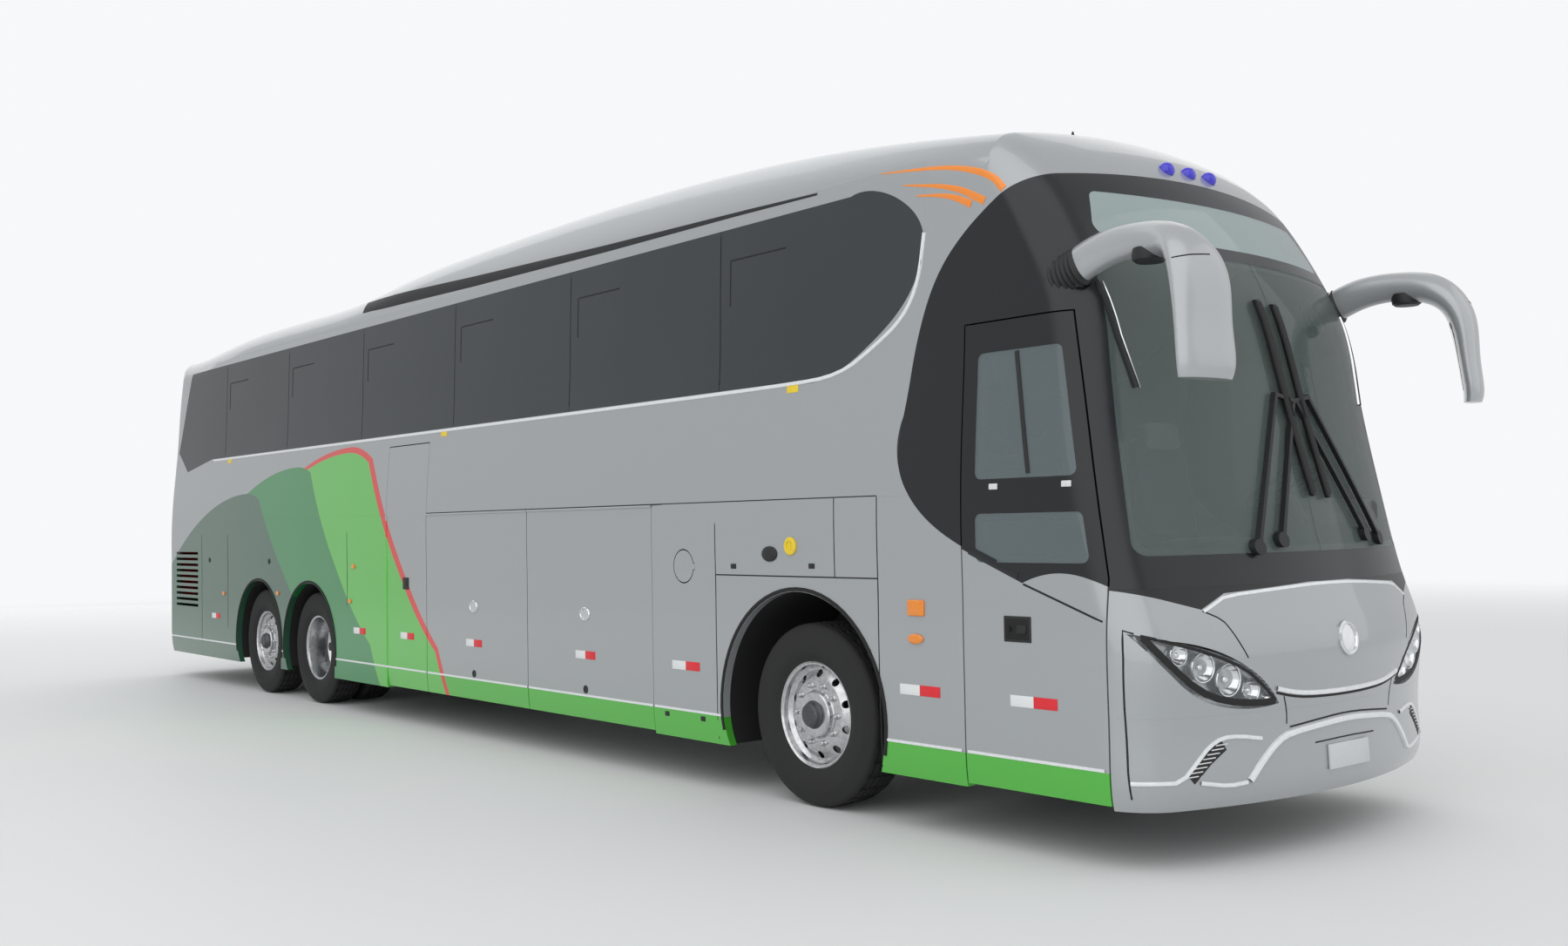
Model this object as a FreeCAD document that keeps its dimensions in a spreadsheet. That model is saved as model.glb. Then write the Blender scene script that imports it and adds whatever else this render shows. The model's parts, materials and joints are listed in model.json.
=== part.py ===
"""Three-axle touring coach, modelled as an assembly of its real pieces.

Frame: +Z up, the nose points to -Y, the passenger door is on the -X side.
The origin lies on the ground under the middle of the whole coach, mirrors included.
Lengths are millimetres. Distances called "from axle" run rearward from the front axle.
"""
import FreeCAD, Part
import Sketcher
import math
import os

Vec = FreeCAD.Vector
doc = FreeCAD.newDocument("TouringCoach")

# Driving dimensions. Each word names one size in the sheet.
SIZES = {
    # whole coach
    "body_length": 14000,
    "body_width": 2600,
    "body_height": 3930,
    "front_overhang": 2570,
    "mirror_reach": 190,
    "wheelbase": 7150,
    "tag_spacing": 1300,
    "skirt_height": 280,
    "belt_height": 1745,
    "cantrail_height": 3500,
    "wall_thick": 50,
    "door_thick": 42,
    "glass_thick": 8,
    "seam": 0.3,
    "door_gap": 8,
    "overrun": 400,
    # nose and tail rounding, seen from above
    "nose_bow_radius": 3200,
    "nose_corner_radius": 300,
    "tail_bow_radius": 9000,
    "tail_corner_radius": 180,
    "nose_rake": 1550,
    "tail_rake": 560,
    "tumble_in": 125,
    # roof cross-section
    "roof_crown_radius": 6900,
    "roof_shoulder_radius": 220,
    "roof_shoulder_inset": 100,
    # door opening, lengths from axle
    "door_front": -2130,
    "door_rear": -1240,
    "door_top": 2600,
    "door_bottom": 300,
    "door_front_high": -1913,
    "door_bend": 1330,
    "door_pane_front": 78,
    "door_pane_rear": 100,
    "door_glass_low": 1810,
    "door_glass_high": 2440,
    "door_glass_split": 1640,
    "door_light_low": 1400,
    "pane_corner_radius": 35,
    "glass_seat": 22,
    # door arm
    "arm_length": 520,
    "arm_inset": 90,
    "arm_off": 95,
    "arm_low": 1210,
    "arm_tall": 60,
    "arm_thick_door": 34,
    "arm_eye": 26,
    "arm_pin": 12,
    "arm_lug": 26,
    "arm_post": 20,
    "arm_play": 1,
    # side window band
    "sill_height": 2430,
    "pane_pitch": 1750,
    "first_pane_seam": 800,
    "pillar_width": 90,
    "pane_gap": 5,
    # windscreen, half widths and heights
    "screen_half_low": 1190,
    "screen_half_high": 1080,
    "screen_low": 1430,
    "screen_high": 2910,
    "header_low": 2975,
    "header_high": 3230,
    "header_half_low": 1020,
    "header_half_high": 900,
    "screen_corner_radius": 60,
    "screen_seat": 30,
    # driver's side window
    "cab_window_front": -2010,
    "cab_window_rear": -1130,
    "cab_window_low": 1640,
    "cab_window_high": 2560,
    # rear window
    "rear_window_half": 900,
    "rear_window_low": 2350,
    "rear_window_high": 3150,
    # luggage and service doors, lengths from axle
    "bay_front": 1475,
    "bay_middle": 3070,
    "bay_rear": 4690,
    "locker_rear": 5450,
    "locker_top": 2330,
    "flap_bottom": 300,
    "hinge_radius": 8,
    "fuel_y": 1130,
    "fuel_z": 1355,
    "fuel_radius": 108,
    "fuel_bead": 5,
    "fuel_bead_half": 18,
    "fuel_strap": 10,
    "side_split_rear": 11150,
    "front_split": -960,
    # bumper and engine lid
    "bumper_top": 700,
    "rear_bumper_top": 760,
    "engine_lid_half": 900,
    "engine_lid_low": 800,
    "engine_lid_high": 1690,
    "lid_bead": 10,
    "lid_bead_near": 150,
    "lid_bead_far": 450,
    "lid_bead_inset": 12,
    # wheel arches
    "arch_radius": 700,
    "arch_shift": 40,
    "rear_arch_radius": 610,
    "liner_thick": 6,
    "liner_inner": 545,
    # tyres and wheels
    "tyre_radius": 522,
    "tyre_width": 295,
    "rim_radius": 286,
    "rim_width": 230,
    "rim_flange": 18,
    "rim_lip": 12,
    "barrel_thick": 12,
    "disc_face": 95,
    "disc_thick": 14,
    "hub_radius": 112,
    "hub_reach": 190,
    "bore_play": 0.06,
    "track_front": 2190,
    "track_tag": 2180,
    "track_drive_outer": 2170,
    "dual_spacing": 335,
    # axles and knuckles
    "kingpin_span": 1860,
    "kingpin_radius": 28,
    "eye_radius": 55,
    "eye_height": 90,
    "yoke_gap": 1,
    "yoke_thick": 40,
    "yoke_width": 100,
    "plate_thick": 18,
    "spindle_radius": 40,
    "beam_drop": 95,
    "beam_depth": 90,
    "beam_width": 90,
    "beam_shoulder": 230,
    "spring_radius": 110,
    "drive_tube_radius": 75,
    "tag_tube_radius": 60,
    "drive_bowl_radius": 230,
    "drive_bowl_width": 260,
    # chassis
    "rail_spacing": 840,
    "rail_width": 80,
    "rail_depth": 200,
    "rail_high": 640,
    "rail_low_depth": 110,
    "cross_width": 80,
    "cross_depth": 90,
    "rail_front_setback": 330,
    "rail_rear_setback": 260,
    "kick_length": 330,
    # floors
    "deck_height": 1600,
    "deck_thick": 60,
    "cab_floor_height": 1040,
    "cab_floor_thick": 40,
    "deck_front": -690,
    "stair_width": 950,
    "stair_first": 400,
    "bay_floor_height": 480,
    "bay_floor_thick": 30,
    # seats
    "seat_pitch": 800,
    "first_seat": 60,
    "seat_reach": 1160,
    "seat_width": 930,
    "seat_depth": 450,
    "seat_height": 450,
    "seat_pad": 120,
    "seat_back": 700,
    "seat_back_thick": 90,
    "seat_recline": 120,
    "pedestal_inset": 110,
    # driver's place
    "wheel_rim_radius": 225,
    "wheel_tube_radius": 15,
    "wheel_tilt": 30,
    "wheel_hub_radius": 45,
    "wheel_hub_depth": 50,
    "wheel_spoke": 26,
    "column_radius": 32,
    "driver_x": 620,
    "driver_wheel_y": -1880,
    "driver_wheel_z": 1760,
    "driver_seat_y": -1640,
    "driver_seat_width": 520,
    "dash_top": 1300,
    "dash_rear": -1990,
    "dash_lip": 150,
    "dash_knee": 1090,
    # engine
    "engine_length": 1400,
    "engine_tall": 850,
    "engine_low": 470,
    "engine_setback": 365,
    # lamps
    "roof_lamp_radius": 45,
    "roof_lamp_spacing": 190,
    "roof_lamp_y": -1735,
    "roof_lamp_z": 3440,
    "tail_lamp_inner": 985,
    "tail_lamp_outer": 1215,
    "tail_lamp_low": 900,
    "tail_lamp_high": 1620,
    # side grille
    "grille_front": 10250,
    "grille_rear": 11050,
    "grille_low": 780,
    "grille_high": 1450,
    "grille_frame": 30,
    "grille_slat": 34,
    "grille_slot": 30,
    # mirrors
    "mirror_depth": 300,
    "mirror_thick": 170,
    # wipers
    "wiper_clear": 8,
    "wiper_reach": 34,
    "wiper_arm_width": 20,
    "wiper_blade_width": 26,
    "wiper_pivot": 38,
    # towing eyes
    "tow_bore": 21,
    "tow_eye_radius": 45,
    "tow_eye_thick": 40,
    "tow_eye_reach": 75,
    # jacking pads
    "pad_half": 50,
    "pad_thick": 20,
    "pad_front": 900,
    "pad_rear": 9250,
}

sheet = doc.addObject("Spreadsheet::Sheet", "Sizes")
for row, (word, value) in enumerate(SIZES.items(), start=1):
    sheet.set("A%d" % row, word)
    sheet.set("B%d" % row, str(value))
    sheet.setAlias("B%d" % row, word)
doc.recompute()


class Size:
    """The sheet's values as plain attributes."""


for word in SIZES:
    setattr(Size, word, float(sheet.get(word)))

half_width = Size.body_width / 2
beyond = half_width + Size.overrun
axle_y = -(Size.body_length + Size.mirror_reach) / 2 + Size.mirror_reach + Size.front_overhang
nose_y = axle_y - Size.front_overhang
tail_y = nose_y + Size.body_length
drive_y = axle_y + Size.wheelbase
tag_y = drive_y + Size.tag_spacing
hub_height = Size.tyre_radius
far = Size.body_length

PARTS = []


def keep(name, shape):
    """Stores a finished shape as one named sub-part of the document."""
    piece = doc.addObject("Part::Feature", name)
    piece.Label = name
    piece.Shape = shape
    PARTS.append(piece)
    return piece


def box(x_low, x_high, y_low, y_high, z_low, z_high):
    return Part.makeBox(x_high - x_low, y_high - y_low, z_high - z_low,
                        Vec(x_low, y_low, z_low))


def both_sides(shape):
    """A shape with its mirror image across the coach's middle plane."""
    return Part.makeCompound([shape, mirrored(shape)])


def mirrored(shape):
    return shape.mirror(Vec(0, 0, 0), Vec(1, 0, 0))


def origin_plane(body, role):
    return [f for f in body.Origin.OriginFeatures if f.Role == role][0]


def value_of(text):
    """The present value of an expression on the sheet."""
    return float(sheet.evalExpression(text))


def bound_sketch(body, role, points):
    """A closed sketch of straight runs whose corners are tied to the sheet."""
    sketch = body.newObject("Sketcher::SketchObject", "Profile")
    sketch.AttachmentSupport = [(origin_plane(body, role), "")]
    sketch.MapMode = "FlatFace"
    count = len(points)
    places = [Vec(value_of(across), value_of(up), 0) for across, up in points]
    for i in range(count):
        sketch.addGeometry(Part.LineSegment(places[i], places[(i + 1) % count]), False)
    for i in range(count):
        sketch.addConstraint(Sketcher.Constraint("Coincident", i, 2, (i + 1) % count, 1))
    for i, texts in enumerate(points):
        for kind, text in zip(("DistanceX", "DistanceY"), texts):
            held = Sketcher.Constraint(kind, -1, 1, i, 1, value_of(text))
            index = sketch.addConstraint(held)
            sketch.setExpression("Constraints[%d]" % index, text)
    return sketch


def new_body(name):
    body = doc.addObject("PartDesign::Body", name)
    body.Label = name
    return body


def turned(name, points, role="XY_Plane"):
    """A body turned about its own X axis from a half section of (along, radius)."""
    body = new_body(name)
    sketch = bound_sketch(body, role, points)
    turn = body.newObject("PartDesign::Revolution", "Turning")
    turn.Profile = (sketch, [""])
    turn.ReferenceAxis = (sketch, ["H_Axis"])
    turn.Angle = 360
    return body


def polygon(points):
    return Part.makePolygon([Vec(*p) for p in points] + [Vec(*points[0])])


def side_prism(outline, x_low, x_high):
    """A side-view outline, a closed wire at x = 0, pushed across from x_low to x_high."""
    face = Part.Face(outline)
    face.translate(Vec(x_low, 0, 0))
    return face.extrude(Vec(x_high - x_low, 0, 0))


def front_prism(outline, y_low, y_high):
    """A front-view outline, a closed wire at y = 0, pushed along from y_low to y_high."""
    face = Part.Face(outline)
    face.translate(Vec(0, y_low, 0))
    return face.extrude(Vec(0, y_high - y_low, 0))


def rounded(points, radius):
    """A closed wire through coplanar points with every corner rounded to one radius."""
    corners = [Vec(*p) for p in points]
    count = len(corners)
    starts, ends, middles = [], [], []
    for i, corner in enumerate(corners):
        back = (corners[i - 1] - corner).normalize()
        ahead = (corners[(i + 1) % count] - corner).normalize()
        half_angle = back.getAngle(ahead) / 2
        reach = radius / math.tan(half_angle)
        inward = (back + ahead).normalize()
        centre = corner + inward * (radius / math.sin(half_angle))
        starts.append(corner + back * reach)
        ends.append(corner + ahead * reach)
        middles.append(centre - inward * radius)
    edges = []
    for i in range(count):
        edges.append(Part.Arc(starts[i], middles[i], ends[i]).toShape())
        edges.append(Part.LineSegment(ends[i], starts[(i + 1) % count]).toShape())
    return Part.Wire(edges)


# The body's skin: plan outlines stacked up the height, under a roof arched along the length.
# Columns: height, nose setback, tail setback and side lean, as shares of their sizes.
STACK_shares = (
    (0.0712, 0.026, 0.071, 0.120),
    (0.1170, 0.008, 0.014, 0.000),
    (0.2036, 0.000, 0.000, 0.000),
    (0.2799, 0.012, 0.000, 0.000),
    (0.3384, 0.063, 0.000, 0.000),
    (0.4440, 0.126, 0.009, 0.016),
    (0.5598, 0.183, 0.036, 0.256),
    (0.6845, 0.245, 0.107, 0.512),
    (0.7455, 0.316, 0.161, 0.560),
    (0.8142, 0.416, 0.241, 0.624),
    (0.8779, 0.539, 0.357, 0.696),
    (0.9160, 0.652, 0.470, 0.760),
    (0.9466, 0.800, 0.590, 0.840),
    (0.9771, 0.950, 0.720, 0.920),
    (1.0076, 1.100, 0.850, 1.000),
)
# Columns: distance from the front axle as a share of the length, roof height as a share.
ROOF_shares = (
    (-0.2286, 0.8600), (-0.1571, 0.8982), (-0.1000, 0.9313), (-0.0286, 0.9669),
    (0.0571, 0.9906), (0.1643, 1.0000), (0.2857, 0.9962), (0.3857, 0.9835),
    (0.4500, 0.9669), (0.5214, 0.9631), (0.6786, 0.9580), (0.7857, 0.9389),
    (0.8571, 0.9211),
)


def plan_outline(height, nose, tail, half):
    """One closed plan outline: bowed nose and tail with tangent corner arcs."""
    edges = []
    ends = {}
    for key, end_y, way, bow, corner in (
            ("nose", nose, 1, Size.nose_bow_radius, Size.nose_corner_radius),
            ("tail", tail, -1, Size.tail_bow_radius, Size.tail_corner_radius)):
        across = half - corner
        depth = math.sqrt((bow - corner) ** 2 - across ** 2)
        corner_y = end_y + way * (bow - depth)
        touch_x = across * bow / (bow - corner)
        touch_y = end_y + way * (bow - depth * bow / (bow - corner))
        lean = math.atan2(depth, across) / 2
        middle_x = across + corner * math.cos(lean)
        middle_y = corner_y - way * corner * math.sin(lean)
        ends[key] = (touch_x, touch_y, middle_x, middle_y, corner_y, end_y)
    nose_end, tail_end = ends["nose"], ends["tail"]

    def at(x, y):
        return Vec(x, y, height)

    edges.append(Part.Arc(at(-nose_end[0], nose_end[1]), at(0, nose_end[5]),
                          at(nose_end[0], nose_end[1])).toShape())
    edges.append(Part.Arc(at(nose_end[0], nose_end[1]), at(nose_end[2], nose_end[3]),
                          at(half, nose_end[4])).toShape())
    edges.append(Part.makeLine(at(half, nose_end[4]), at(half, tail_end[4])))
    edges.append(Part.Arc(at(half, tail_end[4]), at(tail_end[2], tail_end[3]),
                          at(tail_end[0], tail_end[1])).toShape())
    edges.append(Part.Arc(at(tail_end[0], tail_end[1]), at(0, tail_end[5]),
                          at(-tail_end[0], tail_end[1])).toShape())
    edges.append(Part.Arc(at(-tail_end[0], tail_end[1]), at(-tail_end[2], tail_end[3]),
                          at(-half, tail_end[4])).toShape())
    edges.append(Part.makeLine(at(-half, tail_end[4]), at(-half, nose_end[4])))
    edges.append(Part.Arc(at(-half, nose_end[4]), at(-nose_end[2], nose_end[3]),
                          at(-nose_end[0], nose_end[1])).toShape())
    return Part.Wire(edges)


def roof_section(y, height, inset):
    """One closed cross-section: crowned top, round shoulders, sides leaning outward below."""
    crown = Size.roof_crown_radius - inset
    shoulder = Size.roof_shoulder_radius - inset / 2
    end_x = half_width - Size.roof_shoulder_inset - inset
    steep = math.radians(75)
    centre_x = end_x - shoulder * math.sin(steep)
    tip = math.asin(centre_x / (crown - shoulder))
    top = height - inset
    centre_z = top - crown + (crown - shoulder) * math.cos(tip)
    end_z = centre_z + shoulder * math.cos(steep)
    wide_x = half_width + Size.overrun
    wide_z = end_z - (wide_x - end_x) * math.tan(steep)
    low = -Size.overrun
    turn = (steep + tip) / 2

    def at(x, z):
        return Vec(x, y, z)

    touch = (crown * math.sin(tip), top - crown + crown * math.cos(tip))
    middle = (centre_x + shoulder * math.sin(turn), centre_z + shoulder * math.cos(turn))
    right = [at(end_x, end_z), at(wide_x, wide_z), at(wide_x, low)]
    left = [at(-wide_x, low), at(-wide_x, wide_z), at(-end_x, end_z)]
    edges = [Part.Arc(at(-touch[0], touch[1]), at(0, top), at(touch[0], touch[1])).toShape(),
             Part.Arc(at(touch[0], touch[1]), at(middle[0], middle[1]), right[0]).toShape()]
    chain = right + left
    for start, end in zip(chain, chain[1:]):
        edges.append(Part.makeLine(start, end))
    edges.append(Part.Arc(left[2], at(-middle[0], middle[1]),
                          at(-touch[0], touch[1])).toShape())
    return Part.Wire(edges)


def envelope(inset):
    """The whole body as one solid, drawn in by an inset on every side but the bottom."""
    outlines = []
    for height, nose, tail, lean in STACK_shares:
        half = half_width - lean * Size.tumble_in - inset
        outlines.append(plan_outline(height * Size.body_height,
                                     nose_y + nose * Size.nose_rake + inset,
                                     tail_y - tail * Size.tail_rake - inset, half))
    stack = Part.makeLoft(outlines, True, False)
    sections = [roof_section(axle_y + share * Size.body_length, height * Size.body_height, inset)
                for share, height in ROOF_shares]
    arch = Part.makeLoft(sections, True, False)
    return stack.common(arch)


outer = envelope(0)
shell = outer.cut(envelope(Size.wall_thick))
cabin = envelope(Size.wall_thick + Size.seam)
under_glass = envelope(Size.glass_thick)
under_seat = envelope(Size.glass_thick + Size.seam)
under_door = envelope(Size.door_thick)


def from_axle(distance):
    return axle_y + distance


def skin_of(block, under):
    """The part of a block that lies in the body's skin, outside an inner envelope."""
    return block.cut(under).common(outer)


def grown_box(x_low, x_high, y_low, y_high, z_low, z_high, margin):
    return box(x_low - margin, x_high + margin, y_low - margin, y_high + margin,
               z_low - margin, z_high + margin)


# Black front mask: everything inside one curve drawn in side view.
# Columns: distance from the front axle as a share of the front overhang, height share.
MASK_shares = (
    (-0.8288, 0.3265), (-0.6459, 0.3400), (-0.4747, 0.3791), (-0.3440, 0.4402),
    (-0.3113, 0.4784), (-0.3230, 0.5598), (-0.3580, 0.6616), (-0.4125, 0.7354),
    (-0.5253, 0.8015), (-0.7004, 0.8575),
)


# A point of the old curve this near an end, as a share of the run, is left out.
NEAR_END_share = 0.02


def shrunk(outline, margin):
    """An outline drawn in by a margin, its curves laid through points beside the old ones."""
    edges = []
    for edge in outline.makeOffset2D(-margin).OrderedEdges:
        if edge.Curve.TypeId == "Part::GeomOffsetCurve":
            low, high = edge.ParameterRange
            near = (high - low) * NEAR_END_share
            inside = [k for k in edge.Curve.BasisCurve.getKnots() if low + near < k < high - near]
            curve = Part.BSplineCurve()
            curve.interpolate([edge.valueAt(k) for k in [low] + inside + [high]])
            edge = curve.toShape()
        edges.append(edge)
    return Part.Wire(edges)


def mask_outline():
    points = [Vec(0, from_axle(a * Size.front_overhang), b * Size.body_height)
              for a, b in MASK_shares]
    curve = Part.BSplineCurve()
    curve.interpolate(points)
    ahead = nose_y - Size.overrun
    over = Vec(0, ahead, Size.body_height)
    under = Vec(0, ahead, points[0].z)
    edges = [curve.toShape(), Part.makeLine(points[-1], over), Part.makeLine(over, under),
             Part.makeLine(under, points[0])]
    return Part.Wire(edges)


mask_region = side_prism(mask_outline(), -beyond, beyond)

# Side window band, drawn in side view: pointed front lobe, level sill, raked tail.
# Columns: distance from the front axle as a share of the length, height as a share.
BAND_FRONT_shares = (
    (-0.0275, 0.8690), (-0.0590, 0.8372), (-0.0675, 0.7964), (-0.0636, 0.7328),
    (-0.0393, 0.6565), (-0.0186, 0.6210), (0.0107, 0.6170),
)
BAND_REAR_shares = ((0.7110, 0.6183), (0.7680, 0.5900), (0.7929, 0.6500), (0.7650, 0.8740))


def band_outline():
    front = [Vec(0, from_axle(a * Size.body_length), b * Size.body_height)
             for a, b in BAND_FRONT_shares]
    rear = [Vec(0, from_axle(a * Size.body_length), b * Size.body_height)
            for a, b in BAND_REAR_shares]
    curve = Part.BSplineCurve()
    curve.interpolate(front)
    edges = [curve.toShape(), Part.makeLine(front[-1], rear[0])]
    for start, end in zip(rear, rear[1:]):
        edges.append(Part.makeLine(start, end))
    edges.append(Part.makeLine(rear[-1], front[0]))
    return Part.Wire(edges)


band = band_outline()
band_region = side_prism(band, -beyond, beyond)
band_grown = side_prism(shrunk(band, -Size.seam), -beyond, beyond)
band_through = side_prism(shrunk(band, Size.glass_seat), -beyond, beyond)
pane_seams = [Size.first_pane_seam + i * Size.pane_pitch for i in range(6)]
pane_edges = [-Size.front_overhang] + pane_seams + [Size.body_length]


def pane_strip(index, margin):
    """The stretch of side between two pane seams, narrowed at each seam."""
    y_low = from_axle(pane_edges[index]) + margin
    y_high = from_axle(pane_edges[index + 1]) - margin
    return box(-far, far, y_low, y_high, Size.skirt_height, Size.body_height)


def screen_outline(half_low, half_high, low, high, margin):
    """Front-view outline of the windscreen or header glass, drawn in by a margin."""
    return rounded([(-half_low + margin, 0, low + margin), (half_low - margin, 0, low + margin),
                    (half_high - margin, 0, high - margin),
                    (-half_high + margin, 0, high - margin)], Size.screen_corner_radius)


def side_pane(y_low, y_high, z_low, z_high, margin, radius):
    """Side-view outline of a rectangular pane, drawn in by a margin."""
    return rounded([(0, y_low + margin, z_low + margin), (0, y_high - margin, z_low + margin),
                    (0, y_high - margin, z_high - margin), (0, y_low + margin, z_high - margin)],
                   radius)


def window(region, grown, through):
    """The pane of one window, and the two tools that cut its rebate and its opening."""
    return skin_of(region, under_glass), [grown.cut(under_seat), through]


front_half = (nose_y - Size.overrun, from_axle(Size.front_split))
rear_half = (from_axle(Size.wheelbase), tail_y + Size.overrun)
right_side = (-beyond, 0)
left_side = (0, beyond)


def build_front_mask():
    """Black frame round the windscreen, header glass, cab windows and door top."""
    frame = shell.common(mask_region)
    low = (Size.screen_half_low, Size.screen_half_high, Size.screen_low, Size.screen_high)
    head = (Size.header_half_low, Size.header_half_high, Size.header_low, Size.header_high)
    glasses, tools = [], [door_hole]
    for sizes in (low, head):
        prisms = [front_prism(screen_outline(*sizes, margin), *front_half)
                  for margin in (0, -Size.seam, Size.screen_seat)]
        glass, cutters = window(*prisms)
        glasses.append(glass)
        tools += cutters
    y_low, y_high = from_axle(Size.cab_window_front), from_axle(Size.cab_window_rear)
    z_low, z_high = Size.cab_window_low, Size.cab_window_high
    radius = Size.screen_corner_radius
    prisms = [side_prism(side_pane(y_low, y_high, z_low, z_high, margin, radius), *left_side)
              for margin in (0, -Size.seam, Size.glass_seat)]
    cab_glass, cutters = window(*prisms)
    return frame.cut(tools + cutters), glasses, cab_glass


def door_front_at(height):
    """The door's front edge: upright below the bend, raked with the screen pillar above."""
    lean = (Size.door_front_high - Size.door_front) / (Size.door_top - Size.door_bend)
    return from_axle(Size.door_front) + max(0, height - Size.door_bend) * lean


def door_prism(margin, low, high):
    rear = from_axle(Size.door_rear) - margin
    points = [(0, door_front_at(low) + margin, low),
              (0, door_front_at(low) + margin, Size.door_bend),
              (0, door_front_at(high) + margin, high), (0, rear, high), (0, rear, low)]
    return side_prism(polygon(points), -beyond, -half_width / 2)


def door_pane(low, high, margin):
    """Side-view outline of a door pane that follows the raked front edge."""
    front = Size.door_pane_front + margin
    rear = from_axle(Size.door_rear) - Size.door_pane_rear - margin
    return rounded([(0, door_front_at(low) + front, low + margin), (0, rear, low + margin),
                    (0, rear, high - margin), (0, door_front_at(high) + front, high - margin)],
                   Size.pane_corner_radius)


door_hole = door_prism(0, -Size.overrun, Size.door_top)
door_block = door_prism(Size.door_gap, Size.door_bottom, Size.door_top - Size.door_gap)

front_mask, screens, cab_glass = build_front_mask()
keep("front_mask", front_mask)
middle_seam = box(-Size.pane_gap / 2, Size.pane_gap / 2, *front_half, 0, far)
keep("windscreen", screens[0].cut(middle_seam))
keep("header_glass", screens[1])


def build_door():
    """Entry door leaf with its upper pane pair and a lower light."""
    panes = [(Size.door_glass_low, Size.door_glass_high),
             (Size.door_light_low, Size.door_glass_split)]
    glasses, tools = [], []
    for low, high in panes:
        prisms = [side_prism(door_pane(low, high, margin), *right_side)
                  for margin in (0, -Size.seam, Size.glass_seat)]
        glass, cutters = window(*prisms)
        glasses.append(glass)
        tools += cutters
    leaf = skin_of(door_block, under_door).cut(tools)
    return leaf, Part.makeCompound(glasses)


door_y0, door_y1 = from_axle(Size.door_front), from_axle(Size.door_rear)
arm_pin_x = -(half_width - Size.door_thick - Size.arm_off)
arm_post_y = door_y0 + Size.arm_inset
arm_tip_y = arm_post_y + Size.arm_length
arm_high = Size.arm_low + Size.arm_tall


def upright(radius, x, y, z_low, z_high):
    return Part.makeCylinder(radius, z_high - z_low, Vec(x, y, z_low), Vec(0, 0, 1))


def add_door_lugs(leaf):
    """Two lugs on the leaf's inner face with the pin that the arm's eye turns on."""
    root = -(half_width - Size.door_thick / 2)
    pieces = [upright(Size.arm_pin, arm_pin_x, arm_tip_y, Size.arm_low - Size.arm_lug,
                      arm_high + Size.arm_lug)]
    for low in (Size.arm_low - Size.arm_play - Size.arm_lug, arm_high + Size.arm_play):
        high = low + Size.arm_lug
        pieces.append(box(root, arm_pin_x, arm_tip_y - Size.arm_eye, arm_tip_y + Size.arm_eye,
                          low, high))
        pieces.append(upright(Size.arm_eye, arm_pin_x, arm_tip_y, low, high))
    return leaf.fuse(pieces)


door_leaf, door_glass = build_door()
keep("passenger_door", add_door_lugs(door_leaf))
keep("door_glass", door_glass)

# Side walls above the belt, with the window band rebated for the glass.
above_belt = box(-beyond, beyond, from_axle(Size.front_split) + Size.seam,
                 from_axle(Size.side_split_rear), Size.belt_height, Size.cantrail_height)
mask_grown = side_prism(shrunk(mask_outline(), -Size.seam), -beyond, beyond)


def outside_mask(shape):
    """What is left of a shape outside the front mask and the seam round it."""
    return shape.cut(mask_grown).cut(mask_region)


pane_holes = [band_through.common(pane_strip(index, Size.pillar_width / 2))
              for index in range(len(pane_edges) - 1)]
locker_hole = box(-beyond, -half_width / 2, from_axle(Size.bay_rear),
                  from_axle(Size.locker_rear), -far, Size.locker_top)
upper_ring = outside_mask(shell.common(above_belt)).cut(
    [band_grown.cut(under_seat), locker_hole] + pane_holes)
right_half = box(-beyond, 0, -far, far, -far, far)
left_half = box(0, beyond, -far, far, -far, far)
keep("side_wall_right", upper_ring.common(right_half))
keep("side_wall_left", upper_ring.common(left_half))

band_glass = skin_of(band_region, under_glass)
panes = [band_glass.common(pane_strip(index, Size.pane_gap / 2))
         for index in range(len(pane_edges) - 1)]
keep("side_glass", Part.makeCompound(panes + [cab_glass]))

# Roof and front cap.
roof_region = box(-beyond, beyond, -far, far, Size.cantrail_height + Size.seam, far).fuse(
    box(-beyond, beyond, -far, from_axle(Size.front_split), Size.sill_height, far))
keep("roof", outside_mask(shell.common(roof_region)))


def cylinder(radius, length, start, direction):
    return Part.makeCylinder(radius, length, start, direction)


def crossways(radius, x_low, x_high, y, z):
    return cylinder(radius, x_high - x_low, Vec(x_low, y, z), Vec(1, 0, 0))


def wheel_arch(centre_y, radius):
    """A cylinder across the coach that cuts a wheel arch in both sides."""
    return crossways(radius, -beyond, beyond, centre_y, hub_height)


arches = [wheel_arch(axle_y + Size.arch_shift, Size.arch_radius),
          wheel_arch(drive_y, Size.rear_arch_radius),
          wheel_arch(tag_y, Size.rear_arch_radius)]


def flap_block(side, y_front, y_rear, top, gap):
    x_low, x_high = right_side if side < 0 else left_side
    return box(x_low, x_high, from_axle(y_front) + gap, from_axle(y_rear) - gap,
               -far if gap == 0 else Size.flap_bottom, top)


below_belt = box(-far, far, -far, far, -far, Size.belt_height - Size.seam)
lower = outside_mask(shell.common(below_belt)).cut(arches)
bumper_region = box(-far, far, -far, from_axle(Size.door_front), -far, Size.bumper_top)
nose_region = box(-far, far, -far, from_axle(Size.door_front), Size.bumper_top + Size.seam, far)
keep("front_bumper", lower.common(bumper_region))
front_panel = lower.common(nose_region)

# Headlamp leaf in front view, on the right: width and height shares.
LEAF_shares = ((0.975, 0.2755), (0.868, 0.2664), (0.574, 0.2331), (0.410, 0.1865),
               (0.500, 0.1832), (0.660, 0.1872), (0.780, 0.2010), (0.892, 0.2320))


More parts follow.
